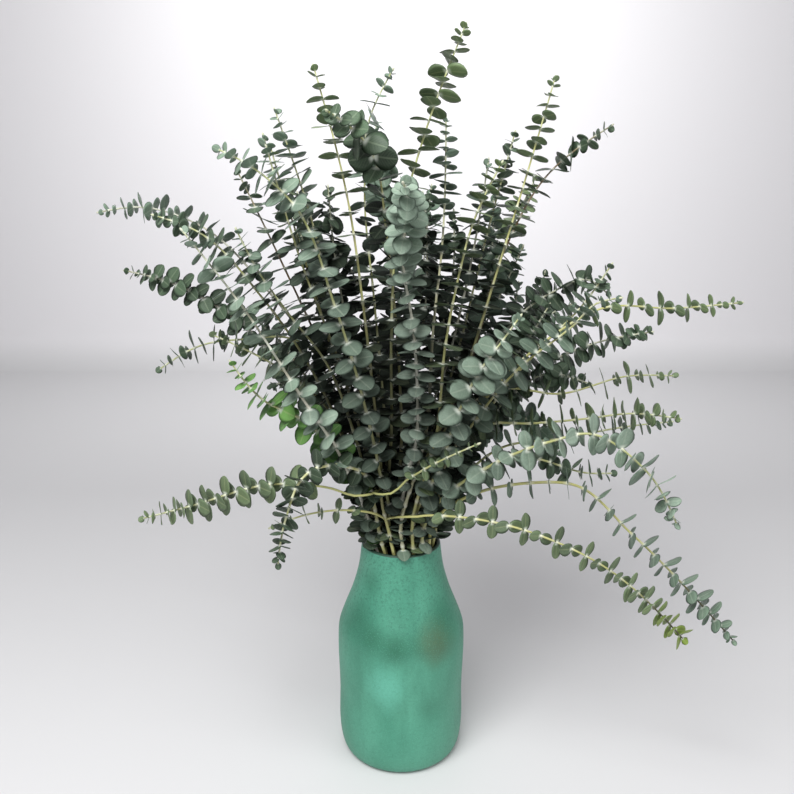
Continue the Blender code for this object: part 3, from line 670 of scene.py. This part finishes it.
def add_leaf_surfaces(shapes, batch, draw):
    """A closed thin leaf for each row of the batch.

    Along the leaf the width follows leaf_outline. Its middle line bows down with the square of the way out,
    both halves cup up with the square of the way across, the leaf twists evenly along its length, and the rim
    ripples by a sine. The two faces lie a lens apart.
    """
    count = len(batch["size"])
    length = batch["size"][:, None, None]
    along = LEAF_ALONG[None, :, None]
    across = LEAF_ACROSS[None, None, :]
    half = length * batch["wide"][:, None, None] / 2 * leaf_outline(along)
    bow = draw.normal(0.03, 0.05, count)[:, None, None]
    cup = draw.normal(0.07, 0.06, count)[:, None, None]
    wave = draw.uniform(0, 2 * math.pi, count)[:, None, None]
    twist = draw.normal(0, 0.08, count)[:, None, None]
    ripple = 0.012 * length * across ** 2 * np.sin(along * 7 + wave + 2 * np.sign(across))
    thick = LEAF_HALF_THICK * (1 - 0.45 * along) * LEAF_SIDE
    forward = along * length
    sideways = half * across
    lift = -bow * length * along ** 2 + cup * half * across ** 2 + twist * sideways * along + ripple + thick
    axis, side, normal = (batch[key][:, None, None] for key in ("axis", "across", "normal"))
    base = batch["base"][:, None, None]
    rings = base + axis * forward[..., None] + side * sideways[..., None] + normal * lift[..., None]
    first = batch["base"]
    last = batch["base"] + batch["axis"] * length[:, 0] - batch["normal"] * (bow * length)[:, 0]
    flat = np.stack(np.broadcast_arrays(LEAF_ALONG[:, None], (LEAF_ACROSS[None] + 1) / 2), axis=-1)
    flat = np.concatenate([[[0, 0.5]], flat.reshape(-1, 2), [[1, 0.5]]])
    tone = batch["tone"][:, None]
    shapes.add(with_poles(first, rings, last), flat[None], tone, LEAF_FACES, LEAF_SLOT)


def circles(middles, radii, side, out, sides):
    """A ring of points about each middle, from one direction square to the stem to the other."""
    angle = 2 * math.pi * np.arange(sides) / sides
    turned = side[:, None] * np.cos(angle)[None, :, None] + out[:, None] * np.sin(angle)[None, :, None]
    return middles[:, None] + radii[:, None, None] * turned


def add_stem_surface(shapes, course, radii, joints, tone, sides=8):
    """A round stem along the course, swollen by a bell curve at each joint and closed at both ends."""
    steps = np.arange(len(course)) * COURSE_STEP
    near = np.concatenate([joints - 1.6, joints, joints + 1.6])
    at = np.unique(np.round(np.concatenate([steps, near[(near > 0) & (near < steps[-1])]]), 1))
    place = read_off(course, steps, at)
    along = unit(read_off(unit(np.gradient(course, axis=0)), steps, at))
    side = unit(np.cross(along, (0.3, 0.9, 0.2)))
    swell = np.exp(-((at[:, None] - joints[None]) / 2.0) ** 2).sum(axis=1).clip(0, 1)
    radius = np.interp(at, steps, radii) * (1 + SWELLING * swell)
    rings = circles(place, radius, side, np.cross(along, side), sides)
    first = place[:1] - along[:1] * radius[0] * 0.3
    last = place[-1:] + along[-1:] * radius[-1] * 0.8
    from_tip = at[-1] - at
    ring_tone = np.stack([
        np.full(len(at), tone[0]), np.exp(-from_tip / FRESH_FADE), swell, np.full(len(at), tone[1]),
    ], axis=-1)
    rows = np.concatenate([ring_tone[:1], np.repeat(ring_tone, sides, axis=0), ring_tone[-1:]])[None]
    flat = np.stack([from_tip / 100, np.zeros(len(at))], axis=-1)
    flat = np.concatenate([flat[:1], np.repeat(flat, sides, axis=0), flat[-1:]])[None]
    shapes.add(with_poles(first, rings[None], last), flat, rows, closed_faces(len(at), sides), BARK_SLOT)


def add_bud(shapes, course, tone):
    """The closed bud at a course's tip: an egg turned about the stem's direction."""
    along = unit(course[-1:] - course[-2:-1])
    side = unit(np.cross(along, (0.2, 0.3, 0.9)))
    rise = np.array([0.1, 0.35, 0.6, 0.85]) * math.pi
    height = 2.4 * (1 - np.cos(rise))
    radius = 1.25 * np.sin(rise) * (1.1 - 0.2 * rise / math.pi)
    rings = circles(course[-1] + along * height[:, None], radius, side, np.cross(along, side), BUD_SIDES)
    first, last = course[-1:] - along * 0.2, course[-1:] + along * 4.9
    rows = np.broadcast_to([tone[0], 1.0, 0.6, tone[1]], (1, 1, 4))
    faces = closed_faces(len(rise), BUD_SIDES)
    shapes.add(with_poles(first, rings[None], last), np.zeros((1, 1, 2)), rows, faces, BARK_SLOT)


def lines_of_stems(places):
    """Each stem and side branch as a line to build on.

    It holds the stem that it belongs to, its look, its course with any part in the bottle, and its radii.
    """
    courses, side = all_courses(places)
    found = []
    for name, course in courses.items():
        look = {**PLAIN_LOOK, **(BEHIND_LOOK if name.startswith(BEHIND) else {}), **LOOKS.get(name, {})}
        foot = straight_in_bottle(places[name], FOOT_HEIGHT)
        steps = int(np.linalg.norm(course[0] - foot) / COURSE_STEP)
        inside = foot + (course[0] - foot) * (np.arange(steps) / steps)[:, None]
        whole = np.concatenate([inside, course])
        bare = COURSE_STEP * int((whole[:, 2] < LOWEST_JOINT).sum())
        radii = np.concatenate([
            np.linspace(STEM_RADIUS_FOOT, STEM_RADIUS_NECK, steps),
            np.linspace(STEM_RADIUS_NECK, STEM_RADIUS_TIP, len(course)),
        ])
        found.append({"stem": name, "look": look, "course": whole, "radii": radii, "bare": bare})
        for (parent, _, _, own), line in zip(BRANCHES, side):
            if parent == name:
                own = {**look, **own}
                radii = np.linspace(BRANCH_RADIUS, STEM_RADIUS_TIP, len(line))
                found.append({"stem": name, "look": own, "course": line, "radii": radii, "bare": own["bare"]})
    return found


def clear_of_vase(leaves):
    """Which leaves don't reach from inside the neck out through its wall or its lip."""
    base, tip = leaves["base"], leaves["base"] + leaves["axis"] * leaves["size"][:, None]
    within = np.hypot(base[:, 0], base[:, 1]) < NECK_INSIDE
    beyond = np.hypot(tip[:, 0], tip[:, 1]) > NECK_INSIDE
    return ~(within & beyond & ((base[:, 2] + tip[:, 2]) / 2 < VASE_HEIGHT + 3))


def hang_over_rim(leaves, lines, kept):
    """Moves one leaf of a front stem to the height of RIM_LEAF, turned out and down over the bottle's rim."""
    name, height, size, heading = RIM_LEAF
    line = [line["stem"] for line in lines].index(name)
    own = np.nonzero(leaves["line"] == line)[0]
    leaf = own[np.argmin(abs(leaves["base"][own, 2] - height))]
    course = lines[line]["course"][:RISING_POINTS]
    axis = unit(np.array(heading))
    across = unit(np.cross((0, 0, 1), axis))
    leaves["base"][leaf] = read_off(course, course[:, 2], height)
    for key, value in (("axis", axis), ("across", across), ("normal", np.cross(axis, across))):
        leaves[key][leaf] = value
    leaves["size"][leaf], kept[leaf] = size, True


def make_stems(materials):
    """Every stem with its leaves, side branches and buds, each one piece in the place of its CAD node."""
    draw = np.random.default_rng(SEED)
    lines = lines_of_stems(places_in_neck())
    tones = draw.uniform(0, 1, len(lines))
    rows = [leaves_of(line["course"], line["bare"], line["look"], draw) for line in lines]
    leaves = {key: np.concatenate([row[key] for row in rows]) for key in rows[0]}
    leaves["line"] = np.repeat(np.arange(len(lines)), [len(row["size"]) for row in rows])
    cuts = settle(leaves, [line["course"] for line in lines], draw)
    kept = clear_of_vase(leaves) & (cuts < TOO_MANY_CUTS) & ~leaves["sparse"]
    hang_over_rim(leaves, lines, kept)
    for name in STEMS:
        shapes = Shapes()
        for index, (line, own) in enumerate(zip(lines, tones)):
            if line["stem"] != name:
                continue
            mine = kept & (leaves["line"] == index)
            length = (len(line["course"]) - 1) * COURSE_STEP
            joints = length - joints_from_tip(length - line["bare"], line["look"]["gap"])[1:]
            tone = (own, line["look"]["bark"])
            add_stem_surface(shapes, line["course"], line["radii"], joints, tone)
            add_leaf_surfaces(shapes, {key: values[mine] for key, values in leaves.items()}, draw)
            add_bud(shapes, line["course"], tone)
        tint = next((tint for tint, names in TINTS.items() if name in names.split()), "blue")
        mesh = shapes.mesh(f"stem_{name}_fine", [materials[tint], materials["bark"]])
        put(mesh, "stem_" + name)


# The vase

def smooth_profile(corners, count):
    """Points evenly spread along a smooth curve through the corners, with slopes as means of the chords."""
    corners, gaps, secants = chords(corners)
    slopes = np.concatenate([secants[:1], (secants[:-1] + secants[1:]) / 2, secants[-1:]])
    return cubic(corners, gaps, slopes, count)


def make_vase(material):
    """The bottle as one closed turned surface: up the inside, over the lip, down the outside, under the foot.

    Its radius swells and shrinks by up to a third of a millimetre in two slow sine waves that run round the
    bottle and up it, as hand-made ware does.
    """
    outer = smooth_profile(VASE_OUTER, 120)
    foot = np.array([(50, 0.4), (46, 1.6), (30, 1.8), (12, 1.8), (3, 1.8)])
    radii, heights = outer[::-1].T
    up = np.concatenate([np.linspace(16, 140, 14), np.linspace(146, 250, 26)])
    inside = np.stack([np.interp(up, heights, radii) - VASE_WALL, up], axis=-1)
    floor = np.array([
        (3, VASE_FLOOR), (30, VASE_FLOOR), (56, VASE_FLOOR), (62, VASE_FLOOR + 2.6), (64.8, 11),
    ])
    turn = np.linspace(math.pi, 0, 9)
    lip = np.array(LIP_MIDDLE) + np.array(LIP_HALF) * np.stack([np.cos(turn), np.sin(turn)], axis=-1)
    profile = np.concatenate([floor, inside, lip, outer[1:], foot])
    sides = 128
    angle = -2 * math.pi * np.arange(sides) / sides
    radius, height = profile[:, :1], profile[:, 1:]
    wobble = 0.18 * np.sin(2 * angle + height / 60) + 0.12 * np.sin(3 * angle - height / 37)
    radius = radius + wobble * np.clip(radius / 40, 0, 1) * np.clip(height / 20, 0, 1)
    rings = np.stack([radius * np.cos(angle), radius * np.sin(angle), height + 0 * angle], axis=-1)
    first, last = np.array([[0, 0, VASE_FLOOR]], float), np.array([[0, 0, 1.8]])
    shapes = Shapes()
    # The inside surface is marked in the tone, for painted shade in the glaze
    painted_shade = np.arange(len(profile)) < len(floor) + len(inside) + len(turn) // 2
    tone = np.concatenate([[1], np.repeat(painted_shade, sides), [0]])[None, :, None] * np.ones(4)
    faces = closed_faces(len(profile), sides)
    shapes.add(with_poles(first, rings[None], last), np.zeros((1, 1, 2)), tone, faces, 0)
    put(shapes.mesh("vase_fine", [material]), "vase")


# Materials

def new_material(name, roughness):
    """A material with its nodes cleared down to the shader, the wires to build it with, and the shader."""
    material = bpy.data.materials.new(name)
    material.use_nodes = True
    shader = material.node_tree.nodes["Principled BSDF"]
    shader.inputs["Roughness"].default_value = roughness
    return material, Wires(material.node_tree), shader


class Wires:
    """Short calls for the nodes that the materials share, in one node tree."""

    def __init__(self, tree):
        self.tree = tree

    def node(self, kind, inputs=(), **settings):
        """A new node with its settings, and with inputs that are sockets linked and others set."""
        made = self.tree.nodes.new(kind)
        for key, value in settings.items():
            setattr(made, key, value)
        for key, value in dict(inputs).items():
            if isinstance(value, bpy.types.NodeSocket):
                self.tree.links.new(value, made.inputs[key])
            elif value is not None:
                made.inputs[key].default_value = value
        return made

    def math(self, operation, first, second=None, third=None, clamp=False):
        """One number worked out from up to three."""
        given = {0: first, 1: second, 2: third}
        return self.node("ShaderNodeMath", given, operation=operation, use_clamp=clamp).outputs[0]

    def times(self, first, second):
        """The product of two numbers."""
        return self.math("MULTIPLY", first, second)

    def line(self, value, slope, start, clamp=False):
        """A value times a slope, plus a start."""
        return self.math("MULTIPLY_ADD", value, slope, start, clamp)

    def step(self, value, low, high, to_low=0.0, to_high=1.0):
        """A smooth step of a value from low to high."""
        ends = {0: value, 1: low, 2: high, 3: to_low, 4: to_high}
        return self.node("ShaderNodeMapRange", ends, interpolation_type="SMOOTHSTEP").outputs[0]

    def fall(self, value, low, high):
        """A smooth step down from 1 at low to 0 at high."""
        return self.step(value, low, high, 1.0, 0.0)

    def mix(self, share, first, second, blend="MIX"):
        """A colour between two, each of them a socket or its red, green and blue."""
        ends = [end if isinstance(end, bpy.types.NodeSocket) else (*end, 1) for end in (first, second)]
        inputs = {0: share, 6: ends[0], 7: ends[1]}
        made = self.node("ShaderNodeMix", inputs, data_type="RGBA", blend_type=blend, clamp_factor=True)
        return made.outputs[2]

    def layers(self, colour, rows):
        """A colour with others laid over it in turn, each row a mask, its strength and a colour."""
        for mask, strength, over in rows:
            colour = self.mix(self.times(mask, strength), colour, over)
        return colour

    def place(self):
        """Where a point is, along the piece's own axes."""
        return self.node("ShaderNodeTexCoord").outputs["Object"]

    def part(self, vector, axis):
        """One number of a vector, by its place in it."""
        return self.node("ShaderNodeSeparateXYZ", {0: vector}).outputs[axis]

    def vector(self, operation, first, second, output):
        """A sum done on one vector or two."""
        return self.node("ShaderNodeVectorMath", {0: first, 1: second}, operation=operation).outputs[output]

    def tone(self):
        """The four numbers that each vertex carries."""
        given = self.node("ShaderNodeAttribute", attribute_name="tone").outputs
        return *self.node("ShaderNodeSeparateColor", {0: given[0]}).outputs[:3], given["Alpha"]

    def noise(self, place, scale, detail=3.0, roughness=0.55, distortion=0.0):
        """Cloudy noise from 0 to 1."""
        made = self.node("ShaderNodeTexNoise", {
            "Vector": place, "Scale": scale, "Detail": detail, "Roughness": roughness,
            "Distortion": distortion,
        })
        return made.outputs["Fac"]

    def drawn_out(self, place, along_z):
        """A place with its height scaled, to draw a pattern out up and down."""
        return self.node("ShaderNodeMapping", {"Vector": place, "Scale": (1, 1, along_z)}).outputs[0]

    def net(self, place, scale, width):
        """A net of fine lines between cells: 1 on the lines, falling to 0 at a width from them."""
        given = {"Vector": place, "Scale": scale}
        cells = self.node("ShaderNodeTexVoronoi", given, feature="DISTANCE_TO_EDGE").outputs[0]
        return self.fall(cells, 0.0, width)

    def dress(self, shader, colour, roughness, height, strength, depth):
        """Leads a colour, a roughness and a bump to a shader."""
        bump = self.node("ShaderNodeBump", {"Height": height, "Strength": strength, "Distance": depth})
        for socket, label in ((colour, "Base Color"), (roughness, "Roughness"), (bump.outputs[0], "Normal")):
            self.tree.links.new(socket, shader.inputs[label])


# The tints of leaf, each with its fresh, deep, bloom and vein colours
LEAF_INPUTS = ("Fresh", "Deep", "Bloom", "Vein")
LEAF_COLOURS = {
    "blue": ((0.115, 0.178, 0.120), (0.026, 0.048, 0.033), (0.300, 0.385, 0.310), (0.360, 0.425, 0.330)),
    "dark": ((0.062, 0.102, 0.058), (0.010, 0.019, 0.011), (0.165, 0.225, 0.170), (0.240, 0.300, 0.200)),
    "olive": ((0.125, 0.180, 0.078), (0.029, 0.052, 0.026), (0.235, 0.312, 0.215), (0.370, 0.410, 0.220)),
    "young": ((0.150, 0.330, 0.080), (0.060, 0.160, 0.045), (0.260, 0.400, 0.200), (0.400, 0.500, 0.220)),
}
SPROUT_GREEN = (0.150, 0.215, 0.030)
LEAF_OUTPUTS = {"Color": "NodeSocketColor", "Roughness": "NodeSocketFloat", "Height": "NodeSocketFloat"}


def leaf_surface_group():
    """The leaf's looks: veins, pale middle line and joint, dark edge, waxy bloom, leaf-to-leaf change and
    painted shade and light.
    """
    group = bpy.data.node_groups.new("leaf_surface", "ShaderNodeTree")
    for label in LEAF_INPUTS:
        group.interface.new_socket(label, in_out="INPUT", socket_type="NodeSocketColor")
    for label, kind in LEAF_OUTPUTS.items():
        group.interface.new_socket(label, in_out="OUTPUT", socket_type=kind)
    given, out = group.nodes.new("NodeGroupInput").outputs, group.nodes.new("NodeGroupOutput").inputs
    wires = Wires(group)
    own, youth, waxy, painted_shade = wires.tone()
    coordinates = wires.node("ShaderNodeTexCoord").outputs
    place = coordinates["Object"]
    along = wires.part(coordinates["UV"], 0)
    across = wires.math("ABSOLUTE", wires.line(wires.part(coordinates["UV"], 1), 2.0, -1.0))
    cloud = wires.noise(place, 42.0, 4.0)
    fine = wires.noise(place, 380.0, 3.0)
    middle = wires.fall(across, 0.03, 0.13)
    slanted = wires.line(across, -3.0, wires.times(along, 8.0))
    wave = wires.math("ABSOLUTE", wires.line(wires.math("FRACT", slanted), 2.0, -1.0))
    veins = wires.times(wires.step(wave, 0.78, 1.0), wires.fall(across, 0.55, 0.95))
    lines = wires.math("MAXIMUM", wires.times(middle, 0.32), wires.times(veins, 0.2))
    lines = wires.math("MAXIMUM", lines, wires.times(wires.net(place, 620.0, 0.12), 0.07))
    patch = wires.step(wires.math("ADD", cloud, wires.times(fine, 0.35)), 0.45, 0.95)
    wax = wires.math("MULTIPLY", waxy, wires.line(patch, 0.6, 0.32), clamp=True)
    shade = wires.math("ADD", wires.times(own, 0.6), wires.times(cloud, 0.5))
    green = wires.mix(wires.step(shade, 0.1, 1.0), given["Deep"], given["Fresh"])
    green = wires.layers(green, [
        (youth, 0.65, given["Fresh"]), (wax, 1.0, given["Bloom"]),
        (wires.step(youth, 1.0, 1.6), 0.9, SPROUT_GREEN), (lines, 1.0, given["Vein"]),
    ])
    # Painted shade: the colour is darkened by how deep in the bunch the leaf is, and lightened as painted
    # light where that number is below 0
    painted_shade_factor = wires.line(painted_shade, -0.82, 1.0)
    painted_shade_factor = wires.node("ShaderNodeCombineColor", {0: painted_shade_factor, 1: painted_shade_factor, 2: painted_shade_factor}).outputs[0]
    spot = wires.times(wires.fall(along, 0.07, 0.25), wires.fall(across, 0.15, 0.75))
    colour = wires.layers(wires.mix(1.0, green, painted_shade_factor, "MULTIPLY"), [
        (wires.step(across, 0.8, 1.0), 0.5, given["Deep"]), (spot, 0.9, (0.74, 0.79, 0.70)),
    ])
    rough = wires.line(fine, 0.25, wires.line(wax, 0.15, 0.4))
    height = wires.math("SUBTRACT", wires.times(fine, 0.25), wires.times(middle, 0.8))
    group.links.new(colour, out["Color"])
    group.links.new(wires.line(painted_shade, 0.35, rough, clamp=True), out["Roughness"])
    group.links.new(wires.math("SUBTRACT", height, wires.times(veins, 0.35)), out["Height"])
    return group


def make_leaf_material(name, group, colours):
    """One tint of leaf, from the shared leaf surface."""
    material, wires, shader = new_material(name, 0.5)
    shader.inputs["Specular IOR Level"].default_value = 0.28
    leaf = wires.node("ShaderNodeGroup", node_tree=group)
    for label, colour in zip(LEAF_INPUTS, colours):
        leaf.inputs[label].default_value = (*colour, 1)
    wires.dress(shader, *(leaf.outputs[label] for label in LEAF_OUTPUTS), 0.35, 0.0006)
    return material


def make_bark_material():
    """The stems: yellow-green, pale with bloom or brown by each stem's own number.

    They are paler at the joints, and carry painted shade in the bottle and deep in the bunch.
    """
    material, wires, shader = new_material("stem_bark", 0.5)
    own, youth, joint, kind = wires.tone()
    place = wires.place()
    height = wires.part(place, 2)
    cloud = wires.noise(place, 30.0, 4.0)
    fine = wires.noise(place, 500.0, 2.0)
    yellow = wires.mix(cloud, (0.42, 0.42, 0.11), (0.60, 0.58, 0.26))
    pale = wires.mix(wires.step(cloud, 0.35, 0.65), (0.48, 0.46, 0.36), (0.62, 0.63, 0.56))
    brown = wires.mix(cloud, (0.13, 0.065, 0.035), (0.26, 0.15, 0.08))
    # Painted shade: how near a point lies to the bunch's middle, for darkening the stems there
    away = wires.vector("LENGTH", wires.vector("MULTIPLY", place, (1, 1, 0), 0), None, "Value")
    spread = wires.line(wires.math("MINIMUM", height, 0.44), 0.75, -0.1455)
    painted_shade = wires.fall(wires.math("DIVIDE", away, spread), 0.45, 0.85)
    colour = wires.layers(yellow, [
        (own, 0.5, (0.33, 0.40, 0.17)), (wires.step(kind, 0.1, 0.5), 1.0, pale),
        (wires.step(kind, 0.55, 0.95), 1.0, brown), (youth, 0.5, (0.30, 0.36, 0.14)),
        (joint, 0.8, (0.78, 0.80, 0.70)), (fine, 0.2, (0.2, 0.16, 0.07)),
        # Painted shade: near-black below the bottle's rim, and dark near the bunch's middle low down
        (wires.fall(height, 0.235, 0.262), 0.85, (0.030, 0.022, 0.012)),
        (painted_shade, wires.step(height, 0.45, 0.62, 0.75, 0.0), (0.030, 0.030, 0.014)),
    ])
    wires.dress(shader, colour, wires.line(fine, 0.3, 0.4), fine, 0.3, 0.0004)
    return material


# Dark patches on the glaze: where, how large and how strong
GLAZE_DARK = [
    ((-0.055, -0.045, 0.180), 0.034, 0.7), ((-0.034, -0.064, 0.166), 0.024, 0.8),
    ((-0.006, -0.072, 0.159), 0.025, 0.9), ((0.018, -0.069, 0.160), 0.022, 0.5),
    ((0.050, -0.046, 0.180), 0.036, 0.9), ((-0.036, -0.040, 0.222), 0.022, 0.5),
    ((0.030, -0.066, 0.085), 0.024, 0.4),
]


def make_glaze_material():
    """The vase's matte glaze: cloudy greens drawn out down the bottle, a brown stain, specks and crackle, a
    painted highlight low on the front and painted shade on the right and inside.
    """
    material, wires, shader = new_material("vase_glaze_fine", 0.55)
    place = wires.place()
    height = wires.part(place, 2)
    streaks = wires.noise(wires.drawn_out(place, 0.22), 34.0, 4.0, 0.6, 0.3)
    cloud = wires.noise(wires.drawn_out(place, 0.6), 13.0, 3.0, 0.5, 0.4)
    fine = wires.noise(place, 900.0, 2.0, 0.6)
    pits = wires.noise(place, 330.0, 3.0, 0.7)
    frayed = wires.math("ADD", wires.times(cloud, 0.5), wires.times(streaks, 0.5))

    def patch(centre, size):
        """A soft round patch about a place on the glaze, its rim frayed by the clouds and streaks."""
        away = wires.vector("DISTANCE", place, centre, "Value")
        return wires.fall(wires.line(frayed, size * 1.2, away), size * 0.6, size * 1.6)

    shoulder = wires.times(wires.step(height, 0.125, 0.160), wires.fall(height, 0.165, 0.205))
    shoulder = wires.times(shoulder, wires.step(wires.math("ADD", cloud, streaks), 0.75, 1.15))
    stain = wires.times(patch((0.039, -0.058, 0.158), 0.036), wires.step(streaks, 0.1, 0.4))
    upper = wires.line(wires.step(height, 0.130, 0.190), 0.45, 0.15)
    # Which surface is the bottle's inside, darkened there as painted shade
    within = wires.tone()[0]
    green = wires.mix(wires.step(cloud, 0.3, 0.7), (0.052, 0.250, 0.162), (0.090, 0.340, 0.230))
    green = wires.layers(green, [
        (wires.step(streaks, 0.45, 0.75), 0.6, (0.045, 0.215, 0.14)), (shoulder, 0.4, (0.022, 0.130, 0.078)),
        *((patch(centre, size), share, (0.019, 0.128, 0.072)) for centre, size, share in GLAZE_DARK),
        # Painted highlight: a pale patch low on the front, left of the middle
        (patch((-0.015, -0.070, 0.112), 0.036), 0.8, (0.125, 0.46, 0.335)),
        # Painted shade: the right side of the bottle darker
        (wires.step(wires.part(place, 0), 0.012, 0.060), 0.35, (0.050, 0.215, 0.135)),
        (stain, 0.85, (0.060, 0.115, 0.055)), (wires.net(place, 260.0, 0.06), 0.16, (0.02, 0.10, 0.065)),
        (wires.step(pits, 0.5, 0.64), upper, (0.030, 0.150, 0.100)),
        (wires.step(fine, 0.5, 0.8), 0.3, (0.16, 0.50, 0.37)),
        (wires.step(height, 0.2516, 0.2528), 0.85, (0.018, 0.030, 0.020)),
        # Painted shade: the bottle's inside near-black
        (within, 0.9, (0.010, 0.022, 0.016)),
    ])
    relief = wires.math("ADD", wires.times(pits, 0.6), wires.times(fine, 0.3))
    wires.dress(shader, green, wires.line(pits, 0.3, 0.36), relief, 0.3, 0.0006)
    return material


def make_water_material():
    """Still water: clear, faintly green and clouded a little."""
    material, wires, shader = new_material("vase_water", 0.06)
    colour = wires.mix(wires.noise(wires.place(), 20.0), (0.60, 0.72, 0.66), (0.74, 0.82, 0.76))
    wires.tree.links.new(colour, shader.inputs["Base Color"])
    shader.inputs["Alpha"].default_value = 0.35
    shader.inputs["IOR"].default_value = 1.33
    return material


def make_materials():
    """All the finishes by name."""
    group = leaf_surface_group()
    found = {"bark": make_bark_material(), "glaze": make_glaze_material(), "water": make_water_material()}
    for tint, colours in LEAF_COLOURS.items():
        found[tint] = make_leaf_material(f"leaf_{tint}_fine", group, colours)
    return found


# The room: floor, light and camera

# The photograph's camera: its focal length and width in the photograph's pixels, and how far it looks down
FOCAL_LENGTH = 745
PICTURE_WIDTH = 794
CAMERA_PLACE = (-0.0046, -0.787, 0.599)
CAMERA_DOWN = 12.83


def make_backdrop():
    """A plain pale sheet: a floor at height 0 that curves up into a wall, as a profile carried along X."""
    bend_radius = 0.15
    floor = np.linspace(-5, 2.3, 24)
    wall = np.linspace(0.5, 4, 8)
    bend = np.linspace(0, math.pi / 2, 13)[1:]
    reach = floor[-1] + bend_radius
    depth = np.concatenate([floor, floor[-1] + bend_radius * np.sin(bend), 0 * wall + reach])
    height = np.concatenate([0 * floor, bend_radius - bend_radius * np.cos(bend), wall])
    across = np.linspace(-5, 5, 21)
    points = np.stack(np.broadcast_arrays(across[:, None], depth, height), axis=-1).reshape(-1, 3)
    index = np.arange(len(points)).reshape(len(across), -1)
    quads = np.stack([index[:-1, :-1], index[1:, :-1], index[1:, 1:], index[:-1, 1:]], axis=-1)
    quads = quads.reshape(-1, 4)
    mesh = bpy.data.meshes.new("backdrop")
    mesh.from_pydata(points.tolist(), [], quads.tolist())
    mesh.polygons.foreach_set("use_smooth", np.ones(len(quads), bool))
    backdrop = bpy.data.objects.new("backdrop", mesh)
    bpy.context.scene.collection.objects.link(backdrop)
    material, wires, shader = new_material("backdrop_paint", 0.9)
    up = wires.step(wires.part(wires.place(), 2), 0.0, bend_radius)
    paint = wires.mix(up, (0.655, 0.655, 0.66), (0.84, 0.83, 0.845))
    wires.tree.links.new(paint, shader.inputs["Base Color"])
    mesh.materials.append(material)


def add_light(name, place, aim, size, energy):
    """A square soft light at a place, turned towards a point."""
    lamp = bpy.data.lights.new(name, "AREA")
    lamp.size = size
    lamp.energy = energy
    made = bpy.data.objects.new(name, lamp)
    made.location = place
    away = np.array(place, float) - np.array(aim, float)
    flat = math.hypot(away[0], away[1])
    made.rotation_euler = (math.atan2(flat, away[2]), 0, math.atan2(away[0], -away[1]))
    bpy.context.scene.collection.objects.link(made)


def make_room():
    """Pale surroundings, three soft lights and the camera at the photograph's view."""
    scene = bpy.context.scene
    scene.view_settings.view_transform = "Standard"
    world = bpy.data.worlds.new("room")
    world.use_nodes = True
    sky = world.node_tree.nodes["Background"]
    sky.inputs["Color"].default_value = (0.80, 0.79, 0.82, 1)
    sky.inputs["Strength"].default_value = 0.43
    scene.world = world
    add_light("key", (-0.45, -1.0, 1.7), (0, 0, 0.15), 1.1, 39)
    add_light("fill", (1.5, -1.2, 1.3), (0, 0, 0.2), 1.6, 15)
    add_light("wall", (0, 1.2, 1.75), (0, 2.45, 1.5), 1.6, 22)
    lens = bpy.data.cameras.new("camera")
    lens.sensor_width = 36
    lens.lens = FOCAL_LENGTH / PICTURE_WIDTH * 36
    camera = bpy.data.objects.new("camera", lens)
    camera.location = CAMERA_PLACE
    camera.rotation_euler = (math.radians(90 - CAMERA_DOWN), 0, 0)
    scene.collection.objects.link(camera)
    scene.camera = camera


MATERIALS = make_materials()
make_vase(MATERIALS["glaze"])
make_stems(MATERIALS)
for spot in bpy.data.objects["water"].material_slots:
    spot.material = MATERIALS["water"]
make_backdrop()
make_room()
